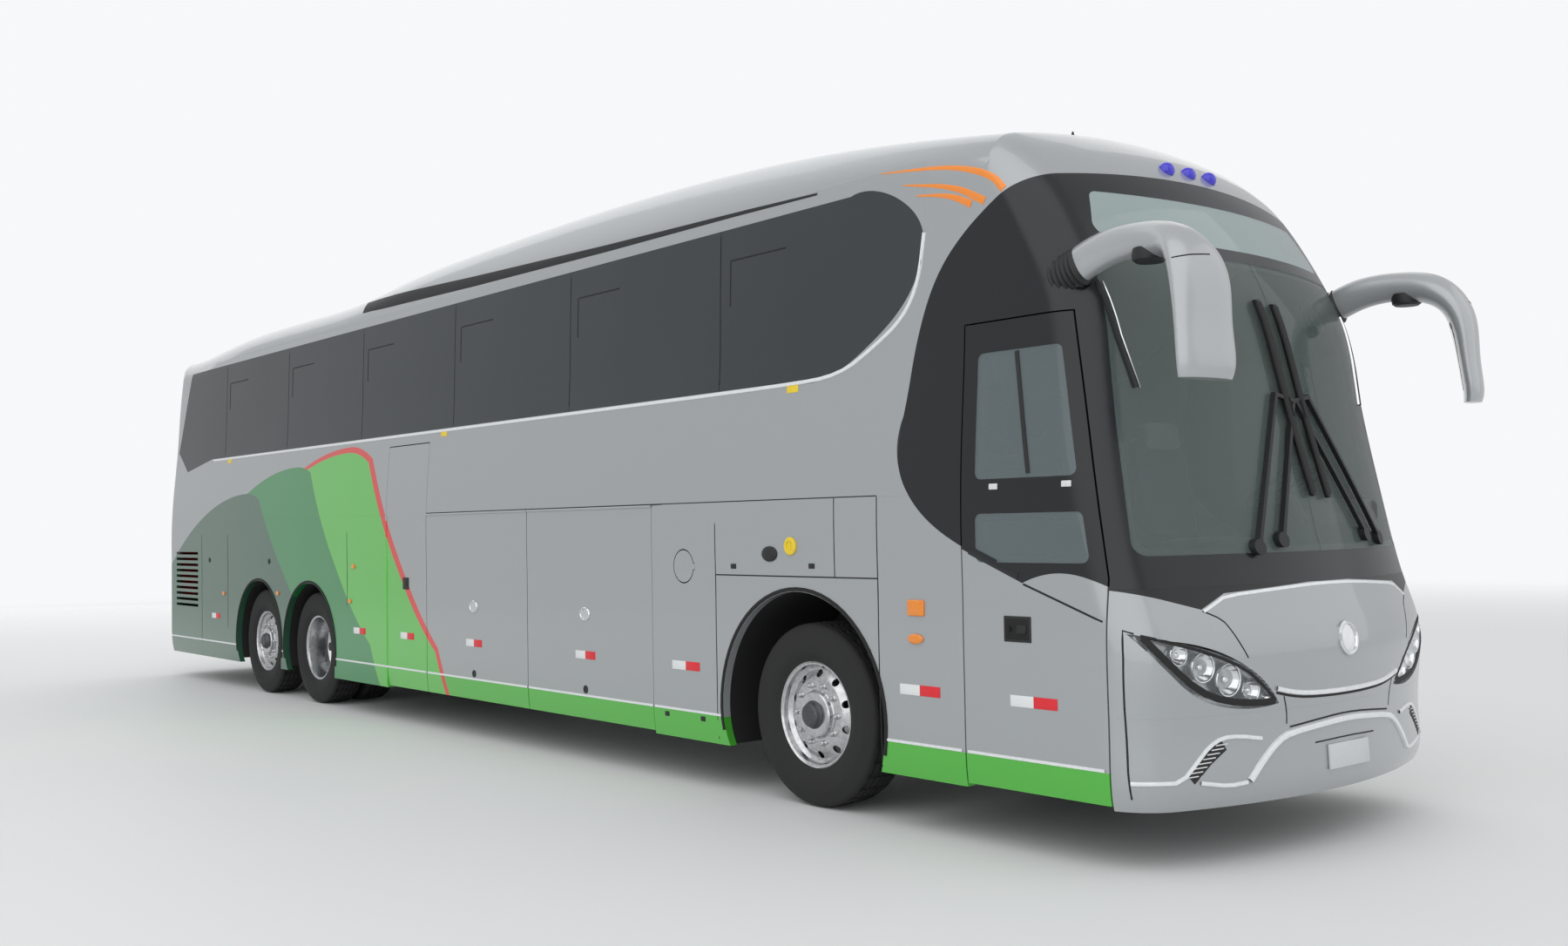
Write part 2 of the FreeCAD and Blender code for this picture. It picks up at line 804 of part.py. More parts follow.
def leaf_outline(side):
    points = [Vec(side * a * half_width, 0, b * Size.body_height) for a, b in LEAF_shares]
    curve = Part.BSplineCurve()
    curve.interpolate(points[:4])
    back = Part.BSplineCurve()
    back.interpolate(points[3:] + [points[0]])
    return Part.Wire([curve.toShape(), back.toShape()])


leaves = [leaf_outline(side) for side in (-1, 1)]
lamp_blocks = [front_prism(leaf, *front_half) for leaf in leaves]
lamp_holes = [front_prism(shrunk(leaf, -Size.seam), *front_half) for leaf in leaves]
keep("head_lamps", Part.makeCompound([front_panel.common(lamp) for lamp in lamp_blocks]))
keep("front_panel", front_panel.cut(lamp_holes).cut(lamp_blocks))

sides_region = box(-far, far, from_axle(Size.door_front) + Size.seam,
                   from_axle(Size.side_split_rear), -far, far)
side_panels = lower.common(sides_region)
bay_span = (Size.bay_front, Size.bay_rear)
grille_hole = box(-beyond, beyond, from_axle(Size.grille_front), from_axle(Size.grille_rear),
                  Size.grille_low, Size.grille_high)


def build_grilles():
    """Louvred vents near the tail: the frame and slats left between the slots."""
    edge = Size.seam
    block = box(-far, far, from_axle(Size.grille_front) + edge,
                from_axle(Size.grille_rear) - edge, Size.grille_low + edge,
                Size.grille_high - edge)
    slots = []
    z = Size.grille_low + Size.grille_frame
    while z + Size.grille_slot < Size.grille_high - Size.grille_frame:
        slots.append(box(-beyond, beyond, from_axle(Size.grille_front) + Size.grille_frame,
                         from_axle(Size.grille_rear) - Size.grille_frame,
                         z, z + Size.grille_slot))
        z += Size.grille_slat + Size.grille_slot
    return skin_of(block, under_door).cut(slots)


keep("side_grilles", build_grilles())

# Fuel flap: a round lid on a short strap, hinged on an upright bead at its front.
fuel_y = from_axle(Size.fuel_y)
fuel_notch = fuel_y - Size.fuel_radius - 2 * Size.fuel_bead
fuel_bead_y = fuel_notch + Size.seam + Size.fuel_bead
bead_half = Size.fuel_bead_half


def build_fuel_flap():
    disc = skin_of(crossways(Size.fuel_radius - Size.door_gap, -beyond, 0, fuel_y,
                             Size.fuel_z), under_door)
    bead = upright(Size.fuel_bead, -half_width, fuel_bead_y, Size.fuel_z - bead_half,
                   Size.fuel_z + bead_half)
    strap = box(-half_width, -half_width + Size.fuel_strap, fuel_bead_y, fuel_y,
                Size.fuel_z - bead_half + Size.seam, Size.fuel_z + bead_half - Size.seam)
    return disc.fuse([bead, skin_of(strap, under_door)]).removeSplitter()


keep("fuel_flap", build_fuel_flap())
fuel_hole = crossways(Size.fuel_radius, -beyond, 0, fuel_y, Size.fuel_z).fuse(
    box(-beyond, 0, fuel_notch, fuel_y, Size.fuel_z - bead_half - Size.fuel_bead,
        Size.fuel_z + bead_half + Size.fuel_bead))
keep("lower_panels_right", side_panels.common(right_half).cut(
    [door_hole, flap_block(-1, *bay_span, far, 0), locker_hole, fuel_hole, grille_hole]))
keep("lower_panels_left", side_panels.common(left_half).cut(
    [flap_block(1, *bay_span, far, 0), grille_hole]))

# Top-hinged luggage doors with a full-length hinge bead under the belt rail.
hinge_z = Size.belt_height - Size.seam - Size.hinge_radius
flap_top = Size.belt_height - Size.door_gap + Size.seam


def luggage_door(side, y_front, y_rear):
    skin = skin_of(flap_block(side, y_front, y_rear, flap_top, Size.door_gap / 2), under_door)
    length = y_rear - y_front - Size.door_gap
    bead = Part.makeCylinder(Size.hinge_radius, length,
                             Vec(side * half_width, from_axle(y_front) + Size.door_gap / 2,
                                 hinge_z), Vec(0, 1, 0))
    return skin.fuse(bead)


for side, word in ((-1, "right"), (1, "left")):
    keep("luggage_door_front_" + word, luggage_door(side, Size.bay_front, Size.bay_middle))
    keep("luggage_door_rear_" + word, luggage_door(side, Size.bay_middle, Size.bay_rear))

locker_block = box(-far, 0, from_axle(Size.bay_rear) + Size.door_gap / 2,
                   from_axle(Size.locker_rear) - Size.door_gap / 2, Size.flap_bottom,
                   Size.locker_top - Size.door_gap)
locker_bead_y = from_axle(Size.locker_rear) - Size.seam - Size.hinge_radius
locker_bead = upright(Size.hinge_radius, -half_width, locker_bead_y, Size.flap_bottom,
                      Size.belt_height - Size.door_gap)
keep("locker_door", skin_of(locker_block, under_door).fuse(locker_bead))

# Rear wall, bumper and engine lid.
rear_ring = shell.common(box(-far, far, from_axle(Size.side_split_rear) + Size.seam, far,
                             -far, Size.cantrail_height))
rear_low = rear_ring.common(box(-far, far, -far, far, -far, Size.rear_bumper_top))
rear_high = rear_ring.common(box(-far, far, -far, far, Size.rear_bumper_top + Size.seam, far))
lid_hole = box(-Size.engine_lid_half, Size.engine_lid_half, *rear_half,
               Size.engine_lid_low, Size.engine_lid_high)
lid_block = box(-Size.engine_lid_half + Size.door_gap, Size.engine_lid_half - Size.door_gap,
                *rear_half, Size.engine_lid_low + Size.door_gap,
                Size.engine_lid_high - Size.door_gap)
window_sizes = (Size.rear_window_half, Size.rear_window_half, Size.rear_window_low,
                Size.rear_window_high)
window_prisms = [front_prism(screen_outline(*window_sizes, margin), *rear_half)
                 for margin in (0, -Size.seam, Size.glass_seat)]
rear_glass, rear_tools = window(*window_prisms)
tail_lamps = []
for side in (-1, 1):
    edges = sorted((side * Size.tail_lamp_inner, side * Size.tail_lamp_outer))
    low_high = (Size.tail_lamp_low, Size.tail_lamp_high)
    tail_lamps.append(rear_high.common(box(*edges, *rear_half, *low_high)))
    rear_tools.append(grown_box(*edges, *rear_half, *low_high, Size.seam))
keep("tail_lamps", Part.makeCompound(tail_lamps))
keep("rear_wall", rear_high.cut(rear_tools + [lid_hole]))
keep("rear_bumper", rear_low)
keep("rear_window", rear_glass)
lid_axis_z = Size.engine_lid_high - Size.seam - Size.lid_bead
lid_beads = [crossways(Size.lid_bead, start, start + Size.lid_bead_far - Size.lid_bead_near,
                       tail_y - Size.lid_bead_inset, lid_axis_z)
             for start in (-Size.lid_bead_far, Size.lid_bead_near)]
keep("engine_lid", skin_of(lid_block, under_door).fuse(lid_beads))

# Running gear. Wheel profiles are drawn with the axle along X and the outside at +X.
TYRE_shares = ((0.47, 0.16), (0.50, 0.50), (0.47, 0.79), (0.41, 0.95), (0.20, 1.00))
BEAD_WALL_share = 1.2


def tyre_points(offset):
    """Half section of a tyre that sits between the rim's lips."""
    bead = "(Sizes.rim_width / 2 - Sizes.rim_lip - Sizes.seam)"
    seat = "Sizes.rim_radius + Sizes.seam"
    wall = "Sizes.rim_radius + Sizes.rim_flange * %s" % BEAD_WALL_share
    tall = "(Sizes.tyre_radius - Sizes.rim_radius)"
    half = [(bead, seat), (bead, wall)]
    half += [("Sizes.tyre_width * %s" % across, "Sizes.rim_radius + %s * %s" % (tall, up))
             for across, up in TYRE_shares]
    right = [("%s + %s" % (offset, across), up) for across, up in half]
    left = [("%s - %s" % (offset, across), up) for across, up in reversed(half)]
    return right + left


# Steel disc of a single wheel: along as shares of the disc face, radius as shares of the rim.
DISC_OUT_shares = ((0.80, 0.930), (0.72, 0.860), (1.00, 0.720), (1.00, 0.500), (1.33, 0.460),
                   (1.50, 0.330), (1.56, 0.000))
DISC_IN_shares = ((0.66, 0.420), (0.85, 0.500), (0.85, 0.700), (0.57, 0.840))
# Shares of the disc face: where the hub starts, where its bore ends and the spindle's reach.
HUB_BACK_share, BORE_END_share, SPINDLE_share = 0.84, 1.45, 1.40


def single_rim_points():
    """Half section of a single wheel: barrel, outset disc, hub and cap."""
    wide, rim, face = "Sizes.rim_width / 2", "Sizes.rim_radius", "Sizes.disc_face"
    inside = "Sizes.rim_radius - Sizes.barrel_thick"
    lip = "Sizes.rim_radius + Sizes.rim_flange"
    bore = "Sizes.spindle_radius + Sizes.bore_play"
    back = "-%s * %s" % (face, HUB_BACK_share)
    end = "%s * %s" % (face, BORE_END_share)
    points = [("-%s" % wide, inside), ("-%s" % wide, lip), ("-%s + Sizes.rim_lip" % wide, lip),
              ("-%s + Sizes.rim_lip" % wide, rim), ("%s - Sizes.rim_lip" % wide, rim),
              ("%s - Sizes.rim_lip" % wide, lip), (wide, lip), (wide, inside)]
    points += [("%s * %s" % (face, a), "%s * %s" % (rim, r)) for a, r in DISC_OUT_shares]
    points += [(end, "0"), (end, bore), (back, bore),
               (back, "Sizes.hub_radius")]
    points += [("%s * %s" % (face, a), "%s * %s" % (rim, r)) for a, r in DISC_IN_shares]
    points += [("%s * %s" % (face, DISC_IN_shares[-1][0]), inside)]
    return points


# Shares of the rim's radius down the dish of a twin wheel, and of the hub's radius at its cap.
DISH_shares = (0.92, 0.80, 0.74, 0.60)
CAP_share = 0.7


def dual_rim_points():
    """Half section of twin wheels bolted back to back on one long hub."""
    mid, wide, rim = "Sizes.dual_spacing / 2", "Sizes.rim_width / 2", "Sizes.rim_radius"
    inside = "Sizes.rim_radius - Sizes.barrel_thick"
    lip = "Sizes.rim_radius + Sizes.rim_flange"
    bore = "Sizes.spindle_radius + Sizes.bore_play"
    disc = "Sizes.disc_thick"
    hub = "Sizes.hub_radius"
    well, slope, knee, foot = ["%s * %s" % (rim, share) for share in DISH_shares]
    half = [("%s + %s" % (mid, wide), inside), ("%s + %s" % (mid, wide), lip),
            ("%s + %s - Sizes.rim_lip" % (mid, wide), lip),
            ("%s + %s - Sizes.rim_lip" % (mid, wide), rim),
            ("%s - %s + Sizes.rim_lip" % (mid, wide), rim),
            ("%s - %s + Sizes.rim_lip" % (mid, wide), lip), ("%s - %s" % (mid, wide), lip),
            ("%s - %s" % (mid, wide), well), (disc, slope)]
    points = half + [("-(%s)" % a, r) for a, r in reversed(half)]
    points += [("-(%s) + %s - %s * 2" % (mid, wide, disc), inside),
               ("-%s * 2" % disc, knee), ("-%s" % disc, foot), ("-%s" % disc, hub),
               ("-Sizes.hub_reach", hub), ("-Sizes.hub_reach", bore),
               ("Sizes.hub_reach", bore), ("Sizes.hub_reach", "0"),
               ("Sizes.hub_reach + %s" % disc, "0"),
               ("Sizes.hub_reach + %s" % disc, "%s * %s" % (hub, CAP_share)),
               ("Sizes.hub_reach - %s" % disc, hub), (disc, hub), (disc, foot),
               ("%s * 2" % disc, knee),
               ("%s - %s + %s * 2" % (mid, wide, disc), inside)]
    return points


def place_wheel(body, side, across, along):
    """Puts a wheel piece on its axle; on the right side it is turned to face outward."""
    turn = FreeCAD.Rotation(Vec(0, 0, 1), 180 if side < 0 else 0)
    body.Placement = FreeCAD.Placement(Vec(side * across, along, hub_height), turn)
    PARTS.append(body)


dual_middle = (Size.track_drive_outer - Size.dual_spacing) / 2
for side, word in ((-1, "right"), (1, "left")):
    for place, track, along in (("front", Size.track_front, axle_y),
                                ("tag", Size.track_tag, tag_y)):
        place_wheel(turned("%s_tyre_%s" % (place, word), tyre_points("0")), side,
                    track / 2, along)
        place_wheel(turned("%s_rim_%s" % (place, word), single_rim_points()), side,
                    track / 2, along)
    outer_tyre = turned("outer_tyre_" + word, tyre_points("Sizes.dual_spacing / 2"))
    inner_tyre = turned("inner_tyre_" + word, tyre_points("-Sizes.dual_spacing / 2"))
    pair = doc.addObject("Part::Compound", "drive_tyres_" + word)
    pair.Label = "drive_tyres_" + word
    pair.Links = [outer_tyre, inner_tyre]
    place_wheel(pair, side, dual_middle, drive_y)
    place_wheel(turned("drive_rims_" + word, dual_rim_points()), side, dual_middle, drive_y)

kingpin_x = Size.kingpin_span / 2


def build_front_axle():
    """Drop beam with an eye at each end for the kingpin, and the air springs above it."""
    eye_edge = kingpin_x - Size.eye_radius / 2
    neck = kingpin_x - Size.yoke_width / 2 - Size.yoke_gap
    shoulder = kingpin_x - Size.beam_shoulder
    half_depth = Size.beam_depth / 2
    mid = hub_height - Size.beam_drop
    end_half = Size.eye_height / 2 - Size.yoke_gap
    high_z, low_z = hub_height + end_half, hub_height - end_half
    top = [(-eye_edge, high_z), (-neck, high_z), (-shoulder, mid + half_depth),
           (shoulder, mid + half_depth), (neck, high_z), (eye_edge, high_z)]
    low = [(eye_edge, low_z), (neck, low_z), (shoulder, mid - half_depth),
           (-shoulder, mid - half_depth), (-neck, low_z), (-eye_edge, low_z)]
    front = axle_y - Size.beam_width / 2
    outline = polygon([(x, front, z) for x, z in top + low])
    beam = Part.Face(outline).extrude(Vec(0, Size.beam_width, 0))
    for side in (-1, 1):
        low_z, high_z = hub_height - Size.eye_height / 2, hub_height + Size.eye_height / 2
        eye = upright(Size.eye_radius, side * kingpin_x, axle_y, low_z, high_z)
        bore = upright(Size.kingpin_radius + Size.bore_play, side * kingpin_x, axle_y,
                       0, Size.body_height)
        beam = beam.fuse(eye).cut(bore)
        beam = beam.fuse(upright(Size.spring_radius, side * Size.rail_spacing / 2, axle_y,
                                 mid, Size.rail_high - Size.seam))
    return beam


def build_knuckle():
    """Fork round the beam's eye with kingpin, back plate and spindle, on the left side."""
    reach = Size.yoke_width / 2
    plate_x = kingpin_x + Size.eye_radius + Size.plate_thick / 2
    plate_end = plate_x + Size.plate_thick
    eye_half = Size.eye_height / 2 + Size.yoke_gap
    fork = eye_half + Size.yoke_thick
    shape = upright(Size.kingpin_radius, kingpin_x, axle_y, hub_height - fork, hub_height + fork)
    for low_z, high_z in ((eye_half, fork), (-fork, -eye_half)):
        shape = shape.fuse(box(kingpin_x, plate_end, axle_y - reach, axle_y + reach,
                               hub_height + low_z, hub_height + high_z))
        shape = shape.fuse(upright(reach, kingpin_x, axle_y, hub_height + low_z,
                                   hub_height + high_z))
    shape = shape.fuse(box(plate_x, plate_end, axle_y - reach, axle_y + reach,
                           hub_height - fork, hub_height + fork))
    spindle_end = Size.track_front / 2 + Size.disc_face * SPINDLE_share
    return shape.fuse(crossways(Size.spindle_radius, plate_x, spindle_end, axle_y, hub_height))


def build_rear_axles():
    """Drive axle with its bowl, and the plain tag axle, each under its air springs."""
    inner_end = dual_middle - Size.hub_reach - Size.door_gap
    tube = crossways(Size.drive_tube_radius, -inner_end, inner_end, drive_y, hub_height)
    bowl = crossways(Size.drive_bowl_radius, -Size.drive_bowl_width / 2,
                     Size.drive_bowl_width / 2, drive_y, hub_height)
    stub_end = dual_middle + Size.hub_reach - Size.disc_thick
    drive = tube.fuse([bowl, crossways(Size.spindle_radius, -stub_end, stub_end, drive_y,
                                       hub_height)])
    tag_end = Size.track_tag / 2 - Size.disc_face * HUB_BACK_share - Size.door_gap
    tag_stub = Size.track_tag / 2 + Size.disc_face * SPINDLE_share
    tag = crossways(Size.tag_tube_radius, -tag_end, tag_end, tag_y, hub_height).fuse(
        crossways(Size.spindle_radius, -tag_stub, tag_stub, tag_y, hub_height))
    beams = []
    for beam, along in ((drive, drive_y), (tag, tag_y)):
        for side in (-1, 1):
            beam = beam.fuse(upright(Size.spring_radius, side * Size.rail_spacing / 2, along,
                                     hub_height, Size.rail_high - Size.seam))
        beams.append(beam)
    return Part.makeCompound(beams)


keep("front_axle", build_front_axle())
left_knuckle = build_knuckle()
keep("knuckle_left", left_knuckle)
keep("knuckle_right", mirrored(left_knuckle))
keep("rear_axles", build_rear_axles())


# Chassis: two rails that step down under the luggage bay, cross members and outriggers.
rail_low_top = Size.bay_floor_height - Size.bay_floor_thick - Size.seam


def build_chassis():
    """Rails in welded runs that dip under the luggage bay, with cross members between them
    and outriggers beside them, tow eyes at both ends and pads for a jack."""
    high_top = Size.rail_high + Size.rail_depth
    start = nose_y + Size.rail_front_setback
    stop = tail_y - Size.rail_rear_setback
    dip_front = from_axle(Size.bay_front) - Size.bay_floor_thick - Size.door_gap
    dip_rear = from_axle(Size.locker_rear) + Size.bay_floor_thick + Size.door_gap
    kick = Size.kick_length
    low_top, low_under = rail_low_top, rail_low_top - Size.rail_low_depth
    stations = [(start, Size.rail_high, high_top), (dip_front - kick, Size.rail_high, high_top),
                (dip_front, low_under, low_top), (dip_rear, low_under, low_top),
                (dip_rear + kick, Size.rail_high, high_top), (stop, Size.rail_high, high_top)]
    middle = Size.rail_spacing / 2
    inner_x, outer_x = middle - Size.rail_width / 2, middle + Size.rail_width / 2
    runs = []
    for (y0, under0, top0), (y1, under1, top1) in zip(stations, stations[1:]):
        outline = polygon([(0, y0, under0), (0, y0, top0), (0, y1, top1), (0, y1, under1)])
        runs.append(side_prism(outline, inner_x, outer_x))
    half = Size.cross_width / 2
    reach = half_width - Size.wall_thick - Size.seam
    depth = Size.cross_depth
    high_cross = Size.rail_high + depth
    crosses = [(from_axle(Size.door_rear) + 2 * half, high_cross),
               (dip_front - kick - half, high_cross),
               (from_axle(Size.bay_middle), low_top), (from_axle(Size.bay_rear), low_top),
               (dip_rear + kick + half, high_cross),
               (tag_y + Size.rear_arch_radius + 2 * half, high_cross)]
    for y, top in crosses:
        runs.append(box(outer_x, reach - Size.door_gap, y - half, y + half, top - depth, top))
    frame = runs + [mirrored(run) for run in runs]
    frame += [box(-inner_x, inner_x, y - half, y + half, top - depth, top) for y, top in crosses]
    middle_z = Size.rail_high + depth / 2
    low, high = middle_z - Size.tow_eye_thick / 2, middle_z + Size.tow_eye_thick / 2
    for edge, way in ((start, -1), (stop, 1)):
        centre = edge + way * Size.tow_eye_reach
        root = edge - way * half
        ends = sorted((edge, edge - way * Size.cross_width))
        cross = box(-inner_x, inner_x, *ends, Size.rail_high, high_cross)
        eye = box(-Size.tow_eye_radius, Size.tow_eye_radius, min(root, centre),
                  max(root, centre), low, high)
        eye = eye.fuse(upright(Size.tow_eye_radius, 0, centre, low, high))
        frame.append(cross.fuse(eye.cut(upright(Size.tow_bore, 0, centre, low, high))))
    for along in (from_axle(Size.pad_front), from_axle(Size.pad_rear)):
        pad = box(middle - Size.pad_half, middle + Size.pad_half, along - Size.pad_half,
                  along + Size.pad_half, Size.rail_high - Size.pad_thick, Size.rail_high)
        frame += [pad, mirrored(pad)]
    return Part.makeCompound(frame)


keep("chassis_frame", build_chassis())

# Floors. Slabs are trimmed to the inside of the walls.
deck_low = Size.deck_height - Size.deck_thick
cab_low = Size.cab_floor_height - Size.cab_floor_thick
stair_x = -(half_width - Size.wall_thick) + Size.stair_width
deck_y = from_axle(Size.deck_front)
over_rail = Size.rail_high + Size.rail_depth + Size.seam
beside_rail = -(Size.rail_spacing + Size.rail_width) / 2 - Size.door_gap
STEP_WIDTH_share = 0.65


def build_floor():
    """Deck, riser and lower cab floor, the door well's cheeks and two inner steps."""
    well_y0, well_y1 = door_y0 - Size.door_gap, door_y1 + Size.door_gap
    thin = Size.cab_floor_thick / 2
    riser_y = deck_y + Size.cab_floor_thick
    cab_top = Size.cab_floor_height
    slabs = [box(-beyond, beyond, deck_y, far, deck_low, Size.deck_height),
             box(-beyond, beyond, deck_y, riser_y, cab_top, deck_low),
             box(stair_x, beyond, -far, riser_y, cab_low, cab_top),
             box(-beyond, stair_x, -far, well_y0, cab_low, cab_top),
             box(-beyond, stair_x, well_y1, riser_y, cab_low, cab_top)]
    for y in (well_y0 - thin, well_y1):
        slabs += [box(-beyond, beside_rail, y, y + thin, Size.stair_first, cab_low),
                  box(beside_rail, stair_x, y, y + thin, over_rail, cab_low)]
    rise = (Size.deck_height - cab_top) / 3
    tread = Size.stair_width / 4
    slabs += [box(stair_x + Size.seam, stair_x + Size.stair_width * STEP_WIDTH_share,
                  deck_y - (3 - step) * tread, deck_y - (2 - step) * tread, cab_top,
                  cab_top + step * rise) for step in (1, 2)]
    return cabin.common(Part.makeCompound(slabs))


keep("floor_deck", build_floor())


def build_stairs():
    """Entry steps in the door well: four treads on a raked soffit."""
    treads = 4
    rise = (Size.cab_floor_height - Size.stair_first) / (treads - 1)
    start = -(half_width - Size.wall_thick) + Size.wall_thick
    going = (stair_x - start) / treads
    low = Size.stair_first - Size.cab_floor_thick
    points = [(start, low), (start, Size.stair_first)]
    for step in range(treads - 1):
        x = start + (step + 1) * going
        points += [(x, Size.stair_first + step * rise),
                   (x, Size.stair_first + (step + 1) * rise)]
    points += [(stair_x - Size.seam, Size.cab_floor_height), (stair_x - Size.seam, over_rail),
               (beside_rail, over_rail), (beside_rail, cab_low - 2 * rise),
               (start + going, low)]
    wire = polygon([(x, door_y0, z) for x, z in points])
    steps = Part.Face(wire).extrude(Vec(0, door_y1 - door_y0, 0))
    post = upright(Size.arm_post, arm_pin_x, arm_post_y, low, Size.arm_low - Size.arm_play)
    pin = upright(Size.arm_pin, arm_pin_x, arm_post_y, low, arm_high + Size.arm_lug)
    return steps.fuse([post, pin])


keep("entry_steps", build_stairs())


def build_bay():
    """Luggage bay: floor, two end bulkheads and the partition beside the tall locker."""
    thick = Size.bay_floor_thick
    reach = half_width - Size.wall_thick - Size.seam
    inside = half_width - Size.door_thick - Size.door_gap - Size.seam
    y0, y1 = from_axle(Size.bay_front), from_axle(Size.locker_rear)
    low = Size.bay_floor_height - thick
    top = deck_low - Size.seam
    bay = box(-inside, inside, y0, y1, low, Size.bay_floor_height)
    for y, out in ((y0 - thick, reach), (y1, reach)):
        bay = bay.fuse(box(-out, out, y, y + thick, low, top))
    middle = from_axle(Size.bay_rear)
    bay = bay.fuse(box(-inside, inside, middle - thick / 2, middle + thick / 2, low, top))
    return cabin.common(bay)


keep("luggage_bay", build_bay())


def build_liners():
    """Wheel boxes: an arched cover and an inner side plate over each wheel."""
    reach = half_width - Size.wall_thick - Size.seam
    boxes = []
    for y, radius in ((axle_y + Size.arch_shift, Size.arch_radius),
                      (drive_y, Size.rear_arch_radius), (tag_y, Size.rear_arch_radius)):
        full = crossways(radius + Size.liner_thick, Size.liner_inner, reach, y, hub_height)
        hollow = crossways(radius, Size.liner_inner + Size.liner_thick, far, y, hub_height)
        above = box(-far, far, -far, far, hub_height - radius / 3, far)
        plate_foot = box(0, Size.liner_inner + Size.liner_thick, y - radius, y + radius, 0,
                         Size.rail_high + Size.cross_depth)
        liner = full.cut(hollow).common(above).cut(plate_foot)
        boxes += [liner, mirrored(liner)]
    return cabin.common(Part.makeCompound(boxes))


keep("wheel_boxes", build_liners())


def seat_outline(front_y, floor_z, depth, recline):
    """Side view of a seat: pedestal, pad and raked back in one run."""
    high = floor_z + Size.seat_height
    back_y = front_y + depth
    return polygon([
        (0, front_y + Size.pedestal_inset, floor_z),
        (0, front_y + Size.pedestal_inset, high - Size.seat_pad),
        (0, front_y, high - Size.seat_pad), (0, front_y, high), (0, back_y, high),
        (0, back_y + recline, high + Size.seat_back),
        (0, back_y + recline + Size.seat_back_thick, high + Size.seat_back),
        (0, back_y + Size.seat_back_thick, high - Size.seat_pad),
        (0, back_y - Size.pedestal_inset, high - Size.seat_pad),
        (0, back_y - Size.pedestal_inset, floor_z)])


def build_seats():
    seats = []
    last = Size.side_split_rear - Size.seat_pitch
    count = int((last - Size.first_seat) // Size.seat_pitch) + 1
    for row in range(count):
        y = from_axle(Size.first_seat + row * Size.seat_pitch)
        seat = side_prism(seat_outline(y, Size.deck_height, Size.seat_depth,
                                       Size.seat_recline),
                          Size.seat_reach - Size.seat_width, Size.seat_reach)
        seats += [seat, mirrored(seat)]
    return Part.makeCompound(seats)


keep("passenger_seats", build_seats())
driver_low = Size.driver_x - Size.driver_seat_width / 2
keep("driver_seat", side_prism(
    seat_outline(from_axle(Size.driver_seat_y), Size.cab_floor_height, Size.seat_depth,
                 Size.seat_recline), driver_low, driver_low + Size.driver_seat_width))

# Steering wheel, its column and the dashboard.
wheel_centre = Vec(Size.driver_x, from_axle(Size.driver_wheel_y), Size.driver_wheel_z)
tilt = math.radians(Size.wheel_tilt)
wheel_axis = Vec(0, math.sin(tilt), math.cos(tilt))


def build_steering_wheel():
    rim = Part.makeTorus(Size.wheel_rim_radius, Size.wheel_tube_radius, wheel_centre, wheel_axis)
    foot = wheel_centre - wheel_axis * Size.wheel_hub_depth
    shape = rim.fuse(cylinder(Size.wheel_hub_radius, Size.wheel_hub_depth, foot, wheel_axis))
    across = wheel_axis.cross(Vec(1, 0, 0))
    for degrees in (0, 120, 240):
        turn = math.radians(degrees - 90)
        way = Vec(1, 0, 0) * math.cos(turn) + across * math.sin(turn)
        spoke = cylinder(Size.wheel_spoke / 2, Size.wheel_rim_radius,
                         wheel_centre - wheel_axis * (Size.wheel_hub_depth / 3), way)
        shape = shape.fuse(spoke)
    return shape


keep("steering_wheel", build_steering_wheel())


def build_dashboard():
    """Full-width shelf under the windscreen with the driver's column."""
    rear = from_axle(Size.dash_rear)
    lip = Size.dash_lip
    points = [(0, -far, Size.cab_floor_height + Size.seam), (0, -far, Size.dash_top),
              (0, rear - lip, Size.dash_top), (0, rear, Size.dash_top - lip),
              (0, rear, Size.dash_knee),
              (0, rear - lip, Size.cab_floor_height + Size.seam)]
    shelf = cabin.common(side_prism(polygon(points), -far, far))
    shelf = shelf.cut(box(-far, stair_x, door_y0 - 4 * Size.door_gap, far, 0, far))
    foot = wheel_centre - wheel_axis * (Size.wheel_hub_depth + Size.seam)
    length = (foot.z - Size.dash_top) / math.cos(tilt) + Size.dash_lip
    column = cylinder(Size.column_radius, length, foot - wheel_axis * length, wheel_axis)
    return shelf.fuse(column)


keep("dashboard", build_dashboard())
engine_half = (Size.rail_spacing - Size.rail_width) / 2 - Size.seam
engine_y = tail_y - Size.engine_setback - Size.engine_length
engine = doc.addObject("Part::Box", "engine_block")
engine.Label = "engine_block"
engine.setExpression("Length", "Sizes.rail_spacing - Sizes.rail_width - Sizes.seam * 2")
engine.setExpression("Width", "Sizes.engine_length")
engine.setExpression("Height", "Sizes.engine_tall")
engine.Placement = FreeCAD.Placement(Vec(-engine_half, engine_y, Size.engine_low),
                                     FreeCAD.Rotation())
PARTS.append(engine)

# Roof marker lamps sit on the front cap; each dome stands on the skin.
domes = []
for place in (-1, 0, 1):
    dome = Part.makeSphere(Size.roof_lamp_radius,
                           Vec(place * Size.roof_lamp_spacing, from_axle(Size.roof_lamp_y),
                               Size.roof_lamp_z))
    domes.append(dome.cut(outer))
keep("marker_lamps", Part.makeCompound(domes))

def build_door_arm():
    """Swing arm between the post in the well and the pin on the leaf."""
    low, high = Size.arm_low, arm_high
    bar = box(arm_pin_x - Size.arm_thick_door / 2, arm_pin_x + Size.arm_thick_door / 2,
              arm_post_y, arm_tip_y, low, high)
    ends = [upright(Size.arm_eye, arm_pin_x, y, low, high) for y in (arm_post_y, arm_tip_y)]
    shape = bar.fuse(ends)
    for y in (arm_post_y, arm_tip_y):
        shape = shape.cut(upright(Size.arm_pin + Size.bore_play, arm_pin_x, y, 0, far))
    return shape


keep("door_arm", build_door_arm())


